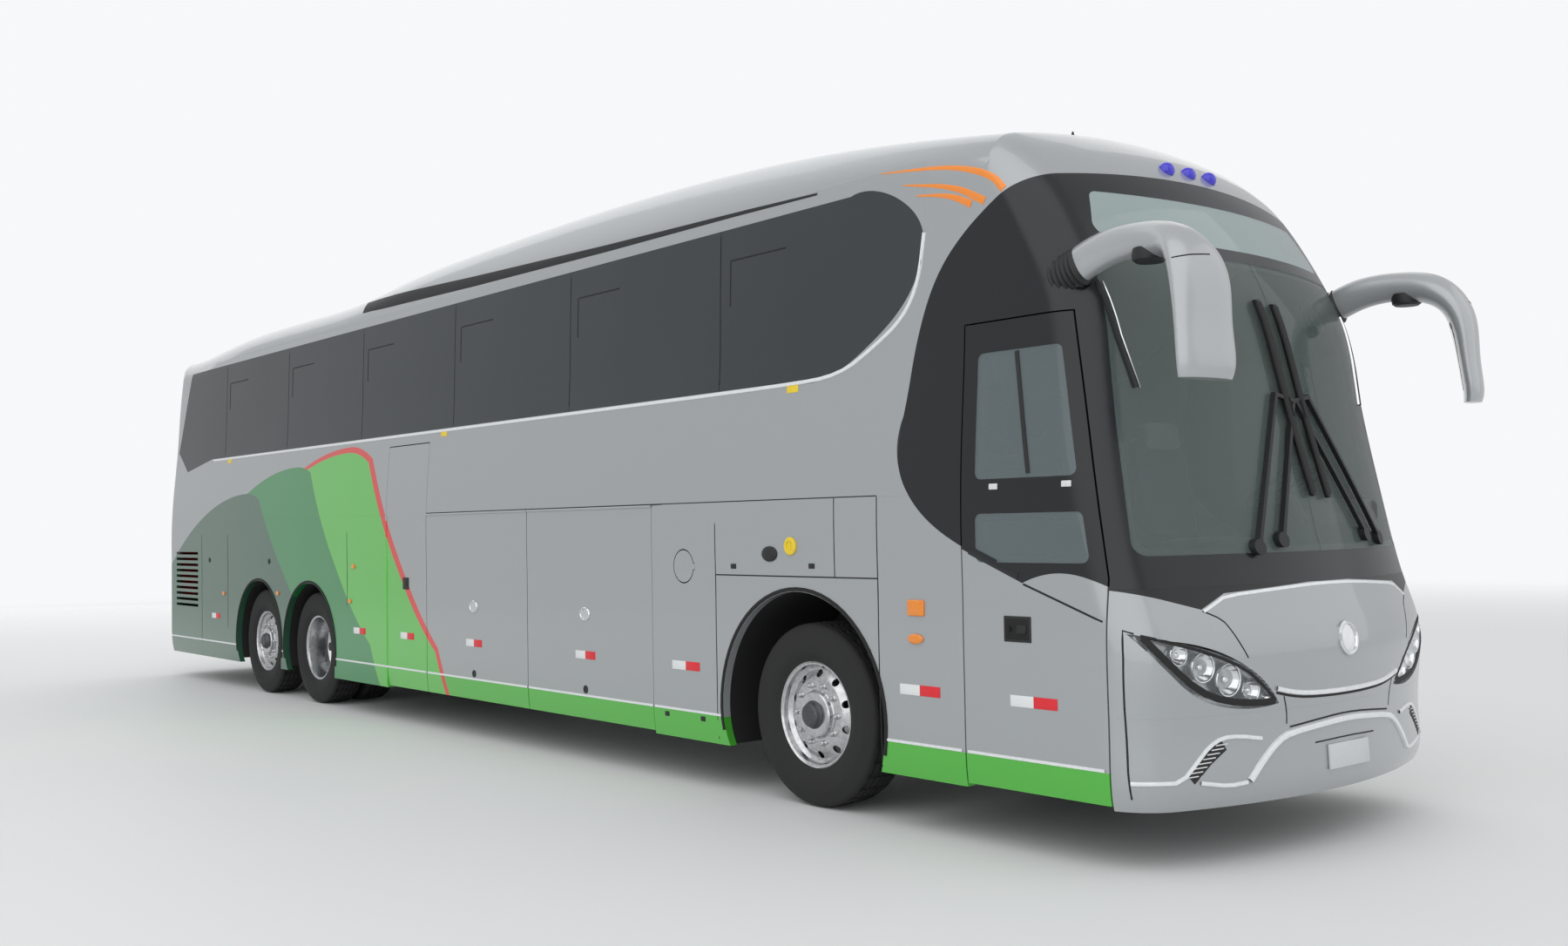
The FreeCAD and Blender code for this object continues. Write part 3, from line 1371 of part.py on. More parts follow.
# Mirrors: a hooked arm in a smooth housing that hangs ahead of each corner.
# Columns: outward from the half width, from the nose rearward, height, width and thickness,
# and how far the oval is turned towards the tail, as a share of a right angle.
MIRROR_shares = (
    (-0.125, 0.310, 0.700, 0.40, 0.95, 0.00), (-0.105, 0.262, 0.712, 0.42, 1.05, 0.00),
    (-0.100, 0.190, 0.728, 0.44, 1.02, 0.00), (-0.092, 0.100, 0.730, 0.52, 0.95, 0.00),
    (-0.080, 0.030, 0.718, 0.78, 0.95, 0.10), (-0.062, -0.010, 0.688, 0.98, 0.85, 0.20),
    (-0.052, -0.024, 0.645, 1.00, 0.72, 0.22), (-0.046, -0.030, 0.600, 1.00, 0.62, 0.22),
    (-0.042, -0.030, 0.560, 0.90, 0.52, 0.22),
)


def build_mirror():
    """One mirror on the left: ovals strung along the hook and skinned."""
    centres = [Vec(half_width * (1 + row[0]), nose_y + row[1] * Size.front_overhang,
                   row[2] * Size.body_height) for row in MIRROR_shares]
    unit_circle = Part.makeCircle(1)
    ovals = []
    for i, (wide, thick, turn) in enumerate(row[3:] for row in MIRROR_shares):
        normal = (centres[min(i + 1, len(centres) - 1)] - centres[max(i - 1, 0)]).normalize()
        angle = turn * math.pi / 2
        side = Vec(math.cos(angle), math.sin(angle), 0)
        side = (side - normal * side.dot(normal)).normalize()
        up_way = normal.cross(side) * (Size.mirror_thick / 2 * thick)
        side = side * (Size.mirror_depth / 2 * wide)
        frame = FreeCAD.Matrix(side.x, up_way.x, normal.x, centres[i].x,
                               side.y, up_way.y, normal.y, centres[i].y,
                               side.z, up_way.z, normal.z, centres[i].z, 0, 0, 0, 1)
        ovals.append(Part.Wire([unit_circle.transformGeometry(frame).Edges[0]]))
    return Part.makeLoft(ovals, True, False)


left_mirror = build_mirror().cut(outer)
keep("mirrors", both_sides(left_mirror))

# Wipers lie in a thin layer that follows the curved screen at a small distance.
# Columns: across as a share of the half width and height share, for both ends of each bar.
WIPER_ARM_shares = (
    (-0.392, 0.371, -0.108, 0.562), (-0.254, 0.379, 0.006, 0.556),
    (0.530, 0.377, 0.120, 0.562), (0.385, 0.383, 0.020, 0.556),
)
WIPER_BLADE_shares = ((-0.101, 0.683, 0.008, 0.436), (0.006, 0.680, 0.120, 0.434))


def front_bar(across_0, up_0, across_1, up_1, width):
    """A straight bar in front view between two points, with square ends."""
    start = Vec(across_0 * half_width, 0, up_0 * Size.body_height)
    end = Vec(across_1 * half_width, 0, up_1 * Size.body_height)
    along = (end - start).normalize() * (width / 2)
    aside = Vec(along.z, 0, -along.x)
    wire = Part.makePolygon([start - along + aside, end + along + aside, end + along - aside,
                             start - along - aside, start - along + aside])
    return front_prism(wire, *front_half)


def build_wipers():
    """Two parallel-arm wipers parked upright, each on a pair of pivots."""
    ahead = box(-beyond, beyond, -far, from_axle(Size.front_split), Size.bumper_top,
                Size.header_low)
    reach = envelope(-Size.wiper_reach).common(ahead)
    coat = reach.cut(envelope(-Size.wiper_clear).common(ahead))
    wipers = []
    for first in (0, 2):
        pair = WIPER_ARM_shares[first:first + 2]
        bars = [front_bar(*ends, Size.wiper_arm_width) for ends in pair]
        bars.append(front_bar(*pair[0][2:], *pair[1][2:], Size.wiper_arm_width))
        bars.append(front_bar(*WIPER_BLADE_shares[first // 2], Size.wiper_blade_width))
        wiper = coat.common(bars[0].fuse(bars[1:]))
        for across, up, over, high in pair:
            pivot = cylinder(Size.wiper_pivot, Size.front_overhang,
                             Vec(across * half_width, nose_y - Size.overrun,
                                 up * Size.body_height), Vec(0, 1, 0))
            bars.append(reach.common(pivot).cut(outer))
        wipers.append(wiper.fuse(bars[4:]))
    return Part.makeCompound(wipers)


keep("wipers", build_wipers())


doc.recompute()
for thing in doc.Objects:
    for bad in ("Invalid", "Error"):
        if bad in thing.State:
            raise RuntimeError("%s is in state %s" % (thing.Label, thing.State))
os.makedirs("parts", exist_ok=True)
for piece in PARTS:
    shape = piece.Shape
    if shape.isNull() or not shape.isValid():
        raise RuntimeError("%s has no valid shape" % piece.Label)
    print("%-26s solids %2d faces %4d volume %.4f m3" % (
        piece.Label, len(shape.Solids), len(shape.Faces), shape.Volume / 1e9))
    shape.exportStep("parts/%s.step" % piece.Label)
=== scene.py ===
# %% [markdown]
# # Dressing a three-axle touring coach
# The CAD model comes packed as a fixed frame. Every panel, pane and wheel is already in its
# place, in metres, with the nose towards -Y and the entry door on the -X side. This lesson
# gives each of them the finish of the real coach, and adds what a CAD part leaves out: tyre
# tread, wheel nuts, lamp bowls, seat cloth, mouldings, handles and panel lines.

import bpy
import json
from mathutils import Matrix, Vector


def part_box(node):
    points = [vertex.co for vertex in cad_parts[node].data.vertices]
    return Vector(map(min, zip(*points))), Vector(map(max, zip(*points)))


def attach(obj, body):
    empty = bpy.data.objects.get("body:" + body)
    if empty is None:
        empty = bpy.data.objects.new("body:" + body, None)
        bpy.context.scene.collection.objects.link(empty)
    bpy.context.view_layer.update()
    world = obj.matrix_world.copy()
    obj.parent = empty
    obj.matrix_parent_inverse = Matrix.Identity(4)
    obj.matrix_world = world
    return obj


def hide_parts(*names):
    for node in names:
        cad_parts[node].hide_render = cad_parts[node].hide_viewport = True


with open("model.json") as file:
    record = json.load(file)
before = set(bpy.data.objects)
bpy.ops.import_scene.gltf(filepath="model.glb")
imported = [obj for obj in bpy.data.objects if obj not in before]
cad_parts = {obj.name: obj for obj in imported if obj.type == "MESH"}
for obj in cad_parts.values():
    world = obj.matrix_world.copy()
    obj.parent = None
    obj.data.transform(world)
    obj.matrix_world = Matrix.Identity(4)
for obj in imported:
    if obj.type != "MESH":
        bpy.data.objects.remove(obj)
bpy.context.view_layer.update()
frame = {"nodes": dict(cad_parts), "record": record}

# %% Other modules and shared handles
import json
import math

import bmesh
import bpy
from mathutils import Matrix, Vector
from mathutils.bvhtree import BVHTree

scene = bpy.context.scene
ROOT = "coach_body"
BODY_OF = {node: body for body, names in frame["record"]["behaviour"]["bodies"].items()
           for node in names}
lowest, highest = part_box("front_tyre_right")
AXLE_Y = (lowest[1] + highest[1]) / 2
HUB_Z = (lowest[2] + highest[2]) / 2
print("front axle at y", round(AXLE_Y, 3), "hub height", round(HUB_Z, 3))

# %% [markdown]
# ## Two small tools for materials
# A paint chart gives sRGB colours, while a shader works in linear light, so one function turns
# a hex code into linear values. A second one adds a node, sets it up and wires its inputs. With
# these two a material reads like a recipe.

# %% Colours and shader nodes


def linear(code):
    """A colour written as sRGB hex, as the linear RGBA that a shader wants."""
    parts = [int(code[i:i + 2], 16) / 255 for i in (1, 3, 5)]
    return tuple(c / 12.92 if c <= 0.04045 else ((c + 0.055) / 1.055) ** 2.4
                 for c in parts) + (1.0,)


def add(material, kind, inputs=(), out=None, **settings):
    """Adds one shader node and returns it, or its output out. Inputs are values or sockets
    to link from: a dictionary by name or number, or a plain row of them."""
    node = material.node_tree.nodes.new("ShaderNode" + kind)
    for name, value in settings.items():
        setattr(node, name, value)
    for key, value in inputs.items() if isinstance(inputs, dict) else enumerate(inputs):
        if isinstance(value, bpy.types.NodeSocket):
            material.node_tree.links.new(value, node.inputs[key])
        else:
            node.inputs[key].default_value = value
    return node if out is None else node.outputs[out]


def finish(name, **sockets):
    """A material with its Principled shader set up. Returns both, and its coordinates."""
    material = bpy.data.materials.new(name)
    material.use_nodes = True
    shader = material.node_tree.nodes["Principled BSDF"]
    for key, value in sockets.items():
        shader.inputs[key.replace("_", " ")].default_value = value
    return material, shader, add(material, "TexCoord", out="Object")


def wire(source, node, key):
    node.id_data.links.new(source, node.inputs[key])


def two_tones(material, factor, dark, light, low=0.3, high=0.7):
    """A ramp between two near shades of one colour."""
    ramp = add(material, "ValToRGB", {"Fac": factor})
    for element, place, code in zip(ramp.color_ramp.elements, (low, high), (dark, light)):
        element.position = place
        element.color = linear(code)
    return ramp.outputs["Color"]

# %% [markdown]
# ## Grain, specks and bump
# Nothing real has one flat colour. A speckled finish mixes two near shades by a noise whose
# scale comes from a real grain size: noise of scale 1000 / size has features about size
# millimetres wide. The same noise drives roughness a little and a bump in real metres.

# %% A speckled finish


def speckled(name, dark, light, grain_mm, rough=(0.4, 0.5), bump_mm=0.1, **sockets):
    material, shader, place = finish(name, **sockets)
    noise = add(material, "TexNoise", {"Vector": place, "Scale": 1000 / grain_mm,
                                       "Detail": 3.0}, "Fac")
    wire(two_tones(material, noise, dark, light), shader, "Base Color")
    gloss = add(material, "MapRange", {"Value": noise, "To Min": rough[0],
                                       "To Max": rough[1]}, "Result")
    wire(gloss, shader, "Roughness")
    if bump_mm:
        bump = add(material, "Bump", {"Height": noise, "Strength": 1.0,
                                      "Distance": bump_mm / 1000})
        wire(bump.outputs["Normal"], shader, "Normal")
    return material

# %% [markdown]
# Each line below names a real surface. Tyre rubber is matt with a fine grain that
# breaks up its highlights. Polished wheel steel is a full metal with faint streaks. Moulded
# plastics differ mostly by the size of their grain. Lens colours are glossy and a little
# uneven, so that they read as ribbed plastic. Reflective tape is softer than paint. Three of
# them also stand in for light: the pale moulding carries painted highlights along creases and
# edges, and the black sealant and black trim carry painted shade in creases, gaps and recesses.

# %% Finishes that need no pattern of their own
rubber = speckled("tyre_rubber", "#171717", "#262626", 3, (0.72, 0.88), 0.3)
wheel_steel = speckled("polished_wheel_steel", "#b4b5b7", "#d2d3d4", 30, (0.18, 0.3), 0.05,
                       Metallic=1.0)
hub_iron = speckled("dark_hub_iron", "#4c4d4f", "#66686b", 6, (0.4, 0.55), 0.2, Metallic=0.8)
hole_black = speckled("wheel_hole_shade", "#0d0d0e", "#151516", 4, (0.7, 0.85), 0.1)
axle_iron = speckled("painted_axle_iron", "#1b1c1d", "#2a2b2d", 8, (0.5, 0.7), 0.4)
chassis_paint = speckled("chassis_black", "#121314", "#1e1f20", 12, (0.5, 0.65), 0.2)
liner_plastic = speckled("moulded_liner", "#101010", "#1b1b1b", 2, (0.7, 0.85), 0.3)
# black moulded trim; also laid flat as painted shade in the gap under the roof fairing and in the
# fog lamp recesses
black_trim_and_shade = speckled("moulded_trim_black_and_painted_shade", "#141516", "#1e2022", 1.5, (0.45, 0.6), 0.1)
# black sealant for joints, and also the colour of the painted shade lines under the nose crease,
# the bumper line and the plate, and along the door's crease
sealant_and_painted_shade = speckled("sealant_and_painted_shade", "#0c0c0d", "#161617", 2, (0.6, 0.75), 0.1)
chrome = speckled("chrome_moulding", "#d8dadb", "#e6e8e9", 40, (0.08, 0.16), 0, Metallic=1.0)
# pale moulding, whose strips along the skirt, sill, nose creases, bumper and fog recess rims are
# painted highlights
pale_trim_and_highlight = speckled("pale_moulding_and_painted_highlight", "#dfe2e4", "#eceeef", 20, (0.25, 0.35), 0,
                       Metallic=0.2, Coat_Weight=0.6)
floor_vinyl = speckled("floor_vinyl", "#3b3e42", "#565a5f", 2.5, (0.5, 0.65), 0.1)
dash_plastic = speckled("dash_soft_plastic", "#3a3c3e", "#484a4d", 1.2, (0.55, 0.7), 0.15)
mirror_paint = speckled("mirror_silver_paint", "#a6a9ab", "#b0b3b5", 1.5, (0.28, 0.36), 0,
                        Metallic=0.3, Coat_Weight=0.8, Coat_Roughness=0.08)
amber = speckled("amber_lens", "#e07a1e", "#f2962f", 5, (0.12, 0.2), 0.1, Coat_Weight=0.5)
red_lens = speckled("red_lens", "#b8141a", "#d4242a", 5, (0.12, 0.2), 0.1, Coat_Weight=0.5)
clear_lens = speckled("clear_lens", "#c9cccd", "#e2e4e5", 5, (0.1, 0.18), 0.1, Coat_Weight=0.5)
blue_lens = speckled("blue_lens", "#2a20b8", "#4034d8", 5, (0.1, 0.16), 0.1, Coat_Weight=0.6)
white_tape = speckled("white_reflector", "#d9dbdc", "#e8e9ea", 3, (0.3, 0.4), 0.1)
red_tape = speckled("red_reflector", "#d01c28", "#e62a35", 3, (0.3, 0.4), 0.1)
orange_film = speckled("orange_film", "#e87f22", "#f4922e", 4, (0.3, 0.4), 0.05,
                       Coat_Weight=0.5)
blank_plate = speckled("blank_plate", "#c3c7c8", "#cdd0d1", 6, (0.4, 0.5), 0.05)
warning_yellow = speckled("warning_yellow", "#dfc01e", "#efd238", 4, (0.4, 0.5), 0.1)
print("materials", len(bpy.data.materials))

# %% [markdown]
# ## Seat cloth
# Coach moquette is a short pile woven in a small repeat. Two crossed waves, 2 mm apart, give
# the weave and its bump, a larger noise wears the colour, and sheen lights the pile's edges.

# %% A woven cloth


def woven(name, dark, light, thread_mm):
    material, shader, place = finish(name, Roughness=0.9, Sheen_Weight=0.35,
                                     Sheen_Roughness=0.5)
    waves = [add(material, "TexWave", {"Vector": place, "Scale": 157 / thread_mm},
                 "Fac", bands_direction=axis) for axis in "XZ"]
    weave = add(material, "Math", waves, 0, operation="MULTIPLY")
    wear = add(material, "TexNoise", {"Vector": place, "Scale": 9.0}, "Fac")
    worn = add(material, "Math", (weave, wear), 0, operation="ADD")
    wire(two_tones(material, worn, dark, light, 0.2, 1.2), shader, "Base Color")
    bump = add(material, "Bump", {"Height": weave, "Strength": 1.0,
                                  "Distance": thread_mm / 4000})
    wire(bump.outputs["Normal"], shader, "Normal")
    return material


seat_cloth = woven("seat_moquette", "#27323f", "#41556b", 2.0)
head_cloth = woven("headrest_cloth", "#8d9296", "#aeb3b6", 1.2)
print("cloths", seat_cloth.name, head_cloth.name)

# %% [markdown]
# ## Glass
# Coach glass is a tinted laminate. Side panes are so dark that they read as grey mirrors with a
# hint of the seats, while the windscreen is nearly clear. A thin pane is cheapest and cleanest
# as a glossy sheet that lets a share of the light straight through, with no real refraction.

# %% Tinted panes


def pane_finish(name, tint, clear, rough=0.03):
    """Glass that lets the share clear through, coloured by its tint."""
    material, shader, place = finish(name, IOR=1.5, Roughness=rough, Alpha=1 - clear)
    waves = add(material, "TexNoise", {"Vector": place, "Scale": 0.9, "Detail": 1.0}, "Fac")
    bump = add(material, "Bump", {"Height": waves, "Strength": 0.15, "Distance": 0.02})
    tone = add(material, "ValToRGB", {"Fac": waves})
    tone.color_ramp.elements[0].color = linear(tint)
    tone.color_ramp.elements[1].color = tuple(c * 1.25 for c in linear(tint)[:3]) + (1.0,)
    wire(tone.outputs["Color"], shader, "Base Color")
    wire(bump.outputs["Normal"], shader, "Normal")
    return material


side_tint = pane_finish("side_tinted_glass", "#33383b", 0.10)
screen_glass = pane_finish("windscreen_glass", "#66726f", 0.60)
header_tint = pane_finish("header_glass", "#9fadad", 0.25)
door_pane_glass = pane_finish("door_pane_glass", "#6f7b7e", 0.50)
lens_glass = pane_finish("lamp_lens_glass", "#e6ecee", 0.95)
lamp_silver = speckled("lamp_reflector_silver", "#8f9395", "#bcbfc1", 45, (0.18, 0.32), 0.2,
                       Metallic=0.9)
mirror_glass = speckled("mirror_glass", "#c8ccce", "#d2d6d8", 60, (0.03, 0.05), 0, Metallic=1.0)
print("materials with glass", len(bpy.data.materials))

# %% [markdown]
# ## The coach's paint
# The panels are sprayed in silver with fine metal flakes under a clear coat. One material
# serves every panel, so that stripes run on from door to door without a step. It reads Object
# coordinates, which are metres in the coach's own frame. Each stripe is a height line z = f(y):
# the paint is coloured where the point lies under it. The sweeps are hills that leave the skirt
# one after the other, climb to a round top and fall again towards the tail.

# %% Masks for sweeps and stripes


def under(material, y, z, start, level, steep, power):
    """1 below a line that keeps one level up to y = start and then bends by a power of y."""
    run = add(material, "Math", (y, start), 0, operation="SUBTRACT")
    run = add(material, "Math", (run, 0.0), 0, operation="MAXIMUM")
    rise = add(material, "Math", (run, power), 0, operation="POWER")
    line = add(material, "Math", (rise, steep, level), 0, operation="MULTIPLY_ADD")
    return add(material, "Math", (z, line), 0, operation="LESS_THAN")


def arc(material, y, z, crest, top, fore, aft):
    """1 below a round top at y = crest that falls off by fore and by aft times y squared."""
    mirrored = add(material, "Math", (2 * crest, y), 0, operation="SUBTRACT")
    return add(material, "Math", (under(material, y, z, crest, top, -aft, 2.0),
                                  under(material, mirrored, z, crest, top, -fore, 2.0)), 0,
               operation="MULTIPLY")


def coat(material, base, code, first, *masks):
    """One colour laid over another where all the masks are 1."""
    for mask in masks:
        first = add(material, "Math", (first, mask), 0, operation="MULTIPLY")
    return add(material, "Mix", {0: first, 6: base, 7: linear(code)}, 2, data_type="RGBA")

# %% The body paint
SKIRT_TOP = 0.45
NOSE_END = -2.13  # where the side begins, from the front axle
# start on the skirt, steepness, crest and its height, colour
SWEEPS = ((3.98, 0.66, 6.26, 2.37, "#df2f2c"), (4.08, 0.66, 6.30, 2.32, "#5fc24c"),
          (5.3, 0.60, 7.5, 2.24, "#1d8a45"), (6.4, 0.44, 8.8, 2.02, "#2f5f48"))


def coach_paint(name, black=None):
    """The body paint. black, where it is given, makes the mask of the gloss black area."""
    material, shader, place = finish(name, Metallic=0.3, Coat_Weight=0.9, Coat_Roughness=0.05)
    axes = add(material, "SeparateXYZ", {0: place}).outputs
    y, z = axes["Y"], axes["Z"]
    flakes = add(material, "TexNoise", {"Vector": place, "Scale": 900.0, "Detail": 2.0}, "Fac")
    silver = two_tones(material, flakes, "#9da1a3", "#a9adaf")
    # the roof above z 3.46 gets a lighter silver, #bfc3c5: a painted highlight on the top of the
    # coach
    high = add(material, "MapRange", {"Value": z, "From Min": 3.46, "From Max": 3.72},
               "Result", interpolation_type="SMOOTHSTEP")
    colour = coat(material, silver, "#bfc3c5", high)
    skirt = under(material, y, z, 0, SKIRT_TOP, 0, 1)
    behind = add(material, "Math", (y, AXLE_Y + NOSE_END), 0, operation="GREATER_THAN")
    colour = coat(material, colour, "#4fb83a", skirt, behind)
    for start, steep, crest, top, code in SWEEPS:
        swept = under(material, y, z, AXLE_Y + start, SKIRT_TOP, steep, 1.7)
        behind = add(material, "Math", (y, AXLE_Y + start), 0, operation="GREATER_THAN")
        dome = arc(material, y, z, AXLE_Y + crest, top, 0.55, 0.13)
        colour = coat(material, colour, code, swept, behind, dome)
    if black:
        mask = black(material, axes)
        colour = coat(material, colour, "#121416", mask)
        for key, level in (("Coat Weight", 0.9), ("Metallic", 0.3)):
            wire(add(material, "MapRange", {"Value": mask, "To Min": level, "To Max": 0.0},
                     "Result"), shader, key)
    wire(colour, shader, "Base Color")
    wire(add(material, "MapRange", {"Value": flakes, "To Min": 0.28, "To Max": 0.4}, "Result"),
         shader, "Roughness")
    return material

# %% Black areas of the door and the nose, and the paints


def black_door(material, axes):
    """Above the door's black edge: a straight fall from the rear, then a low arc."""
    y, z = axes["Y"], axes["Z"]
    fall = under(material, y, z, AXLE_Y + NOSE_END, 1.094, 0.42, 1.0)
    low_arc = arc(material, y, z, AXLE_Y - 1.87, 1.352, 0.9, 0.9)
    below = add(material, "Math", (fall, low_arc), 0, operation="MAXIMUM")
    return add(material, "Math", (1.0, below), 0, operation="SUBTRACT")


def black_notch(material, axes):
    """Above a line that falls from each corner to a V and then rises towards the middle."""
    side = add(material, "Math", (axes["X"],), 0, operation="ABSOLUTE")
    outer, *inner = (
        add(material, "Math", (side, slope, level), 0, operation="MULTIPLY_ADD")
        for slope, level in ((0.28, 0.9195), (-0.442, 1.5938), (-0.055, 1.2928)))
    lower = add(material, "Math", inner, 0, operation="MINIMUM")
    line = add(material, "Math", (outer, lower), 0, operation="MAXIMUM")
    return add(material, "Math", (axes["Z"], line), 0, operation="GREATER_THAN")


body_paint = coach_paint("coach_silver_paint")
door_paint = coach_paint("entry_door_paint", black_door)
nose_paint = coach_paint("nose_paint", black_notch)
mask_black = speckled("mask_gloss_black", "#111418", "#181c20", 2, (0.22, 0.28), 0)
print("sweeps", len(SWEEPS))

# %% [markdown]
# ## From CAD triangles to a smooth panel
# A packed panel is loose triangles that shade flat. A copy of it, merged, can be shaded smooth
# wherever two faces meet at a small angle, and kept crisp along the real edges. The copy then
# stands for the node. The alternative, drawing each panel again, would only risk gaps between
# the picture and the part.

# %% Make a finished piece from a bmesh
CREASE = math.radians(28)


def bare(name, work, *finishes):
    """An object at the origin that holds a bmesh, which is used up."""
    mesh = bpy.data.meshes.new(name)
    work.to_mesh(mesh)
    work.free()
    for material in finishes:
        mesh.materials.append(material)
    thing = bpy.data.objects.new(name, mesh)
    scene.collection.objects.link(thing)
    return thing


def piece(name, work, body, *finishes):
    """Smooths a bmesh up to its creases and makes it a piece that rides on a body."""
    bmesh.ops.recalc_face_normals(work, faces=work.faces)
    for face in work.faces:
        face.smooth = True
    for edge in work.edges:
        edge.smooth = len(edge.link_faces) == 2 and edge.calc_face_angle() < CREASE
    thing = bare(name, work, *finishes)
    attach(thing, body)
    return thing


def merged(node):
    """A merged copy of a CAD node's mesh."""
    work = bmesh.new()
    work.from_mesh(frame["nodes"][node].data)
    bmesh.ops.remove_doubles(work, verts=work.verts, dist=0.00002)
    return work


def stand_for(thing, node):
    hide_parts(node)
    return thing


def smooth_panel(node, *finishes):
    return stand_for(piece(node + "_panel", merged(node), BODY_OF[node], *finishes), node)

# %% Finish the CAD's panels
PAINTED = ["roof", "side_wall_right", "side_wall_left", "lower_panels_right",
           "lower_panels_left", "luggage_door_front_right", "luggage_door_rear_right",
           "luggage_door_front_left", "luggage_door_rear_left", "locker_door", "fuel_flap",
           "front_bumper", "rear_wall", "rear_bumper", "engine_lid", "side_grilles"]
FINISH_OF = {node: body_paint for node in PAINTED}
FINISH_OF.update(
    front_panel=nose_paint, passenger_door=door_paint, front_mask=mask_black,
    windscreen=screen_glass, header_glass=header_tint, side_glass=side_tint,
    rear_window=side_tint, door_glass=door_pane_glass, engine_block=axle_iron,
    front_axle=axle_iron, rear_axles=axle_iron, knuckle_right=axle_iron,
    knuckle_left=axle_iron, chassis_frame=chassis_paint, wheel_boxes=liner_plastic,
    floor_deck=floor_vinyl, entry_steps=floor_vinyl, luggage_bay=floor_vinyl,
    dashboard=dash_plastic, door_arm=hub_iron, wipers=black_trim_and_shade,
    marker_lamps=blue_lens, mirrors=mirror_paint, tail_lamps=red_lens,
    steering_wheel=black_trim_and_shade)
for node, material in FINISH_OF.items():
    smooth_panel(node, material)
print("panels", len(FINISH_OF))

# %% [markdown]
# ## Laying trim on the skin
# Seams, mouldings, films and the strips of painted highlight and painted shade follow the body's
# curves. Each starts as a flat grid, one square per step of its route. Its vertices are then
# dropped onto the coach along one direction, and lifted along the surface's own normal, with
# the outer rows sunk a little so that the strip has a rounded back and no open edge. A strip
# that runs over several bodies, such as the skirt's highlight moulding over the luggage doors,
# is cut where the body changes, so each part moves with its door.

# %% The coach's skin as a search tree
SKIN = PAINTED + ["front_panel", "passenger_door", "front_mask", "windscreen", "header_glass",
                  "side_glass", "rear_window", "door_glass"]
RIGHT, LEFT = Vector((-1, 0, 0)), Vector((1, 0, 0))
FRONT, REAR, TOP = Vector((0, -1, 0)), Vector((0, 1, 0)), Vector((0, 0, 1))
SIDES = (("right", RIGHT), ("left", LEFT))
OUTSIDE = 20  # metres back along a line of sight, from where it meets the coach first


def tree_of(nodes):
    """A search tree over some nodes' faces, and the node that owns each face."""
    work, owners = bmesh.new(), []
    for node in nodes:
        work.from_mesh(frame["nodes"][node].data)
        owners += [node] * (len(work.faces) - len(owners))
    tree = BVHTree.FromBMesh(work)
    work.free()
    return tree, owners


COACH_SKIN = tree_of(SKIN)
print("faces of the skin", len(COACH_SKIN[1]))


def touch(point, out, skin=COACH_SKIN):
    """Where a line against the direction out first meets the skin: place, normal, body."""
    where, normal, index, _ = skin[0].ray_cast(Vector(point) + out * OUTSIDE, -out)
    if where is None:
        return None
    if normal.dot(out) < 0:
        normal = -normal
    return where, normal, BODY_OF[skin[1][index]]


def at(out, *place):
    """A point in side, front or top view, or a whole one of x, y from the axle, and z."""
    if len(place) == 3:
        return Vector((place[0], AXLE_Y + place[1], place[2]))
    a, b = place
    if out.x:
        return Vector((out.x * 1.3, AXLE_Y + a, b))
    if out.y:
        return Vector((a, AXLE_Y + 4 * out.y, b))
    return Vector((a, AXLE_Y + b, 4))


def on_side(side, points):
    """Places given for one side, with their x turned to the side that is wanted."""
    return [(side * x, *rest) for x, *rest in points]


def walk(points, step):
    """Points every step along the straight runs between the given ones."""
    line = [points[0]]
    for a, b in zip(points, points[1:]):
        count = max(1, round((b - a).length / step))
        line += [a.lerp(b, i / count) for i in range(1, count + 1)]
    return line


def curved(points, rounds=2):
    """The same route with its corners cut off, a few times over."""
    for _ in range(rounds):
        cut = [points[0]]
        for a, b in zip(points, points[1:]):
            cut += [a.lerp(b, 0.25), a.lerp(b, 0.75)]
        points = cut + [points[-1]]
    return points

# %% A strip that follows the skin
ACROSS = (-1.0, -0.72, 0.0, 0.72, 1.0)
HEIGHTS = (-0.5, 0.8, 1.0, 0.8, -0.5)
SEAM, HAIR = 0.009, 0.0012  # width and height of a line of sealant
DEEP_STEP = 0.4  # a jump inwards by this much has missed the panel
NEAR_FIT = 0.09  # a strip's edge follows the skin as long as it lies this near


def strip(name, route, out, width=SEAM, height=HAIR, material=sealant_and_painted_shade, step=0.05,
          ends=None, skin=COACH_SKIN):
    """Lays a crowned strip along a route. ends are shares of its width at start and end."""
    runs, run, missed = [], [], 0
    for point in walk(route, step):
        hit = touch(point, out, skin)
        if not hit or run and abs((hit[0] - run[-1][0]).dot(out)) > DEEP_STEP:
            missed += 1
            continue
        if run and (missed > 2 or hit[2] != run[-1][2]):
            runs, run = runs + [run], []
        run, missed = run + [hit], 0
    runs.append(run)
    for number, run in enumerate(r for r in runs if len(r) > 1):
        work = bmesh.new()
        last = len(run) - 1
        bmesh.ops.create_grid(work, x_segments=last, y_segments=4, size=1)
        for vert in work.verts:
            i = round((vert.co.x + 1) / 2 * last)
            j = round((vert.co.y + 1) * 2)
            where, normal, _ = run[i]
            ahead = (run[min(i + 1, last)][0] - run[max(i - 1, 0)][0]).normalized()
            side = normal.cross(ahead).normalized()
            share = ends[0] + (ends[1] - ends[0]) * i / last if ends else 1.0
            spot = where + side * (ACROSS[j] * width / 2 * share)
            fit = skin[0].ray_cast(spot + normal * 0.1, -normal)
            if fit[0] is not None and (fit[0] - spot).length < NEAR_FIT:
                spot = fit[0]
            vert.co = spot + normal * (HEIGHTS[j] * height)
        piece(f"{name}_{number}", work, run[0][2], material)


def lay(name, places, out, *look, rounds=0, **more):
    """A strip along places in a view, given as numbers. Rounds turn its corners to bends."""
    strip(name, curved([at(out, *p) for p in places], rounds), out, *look, **more)

# %% [markdown]
# Small hardware is turned on a lathe, so to speak: a profile of radius and height is spun
# about the surface's normal. Plates and handles are rounded boxes. Each is placed by a frame
# that stands on the skin, and shapes of one kind that ride on one body share one mesh.

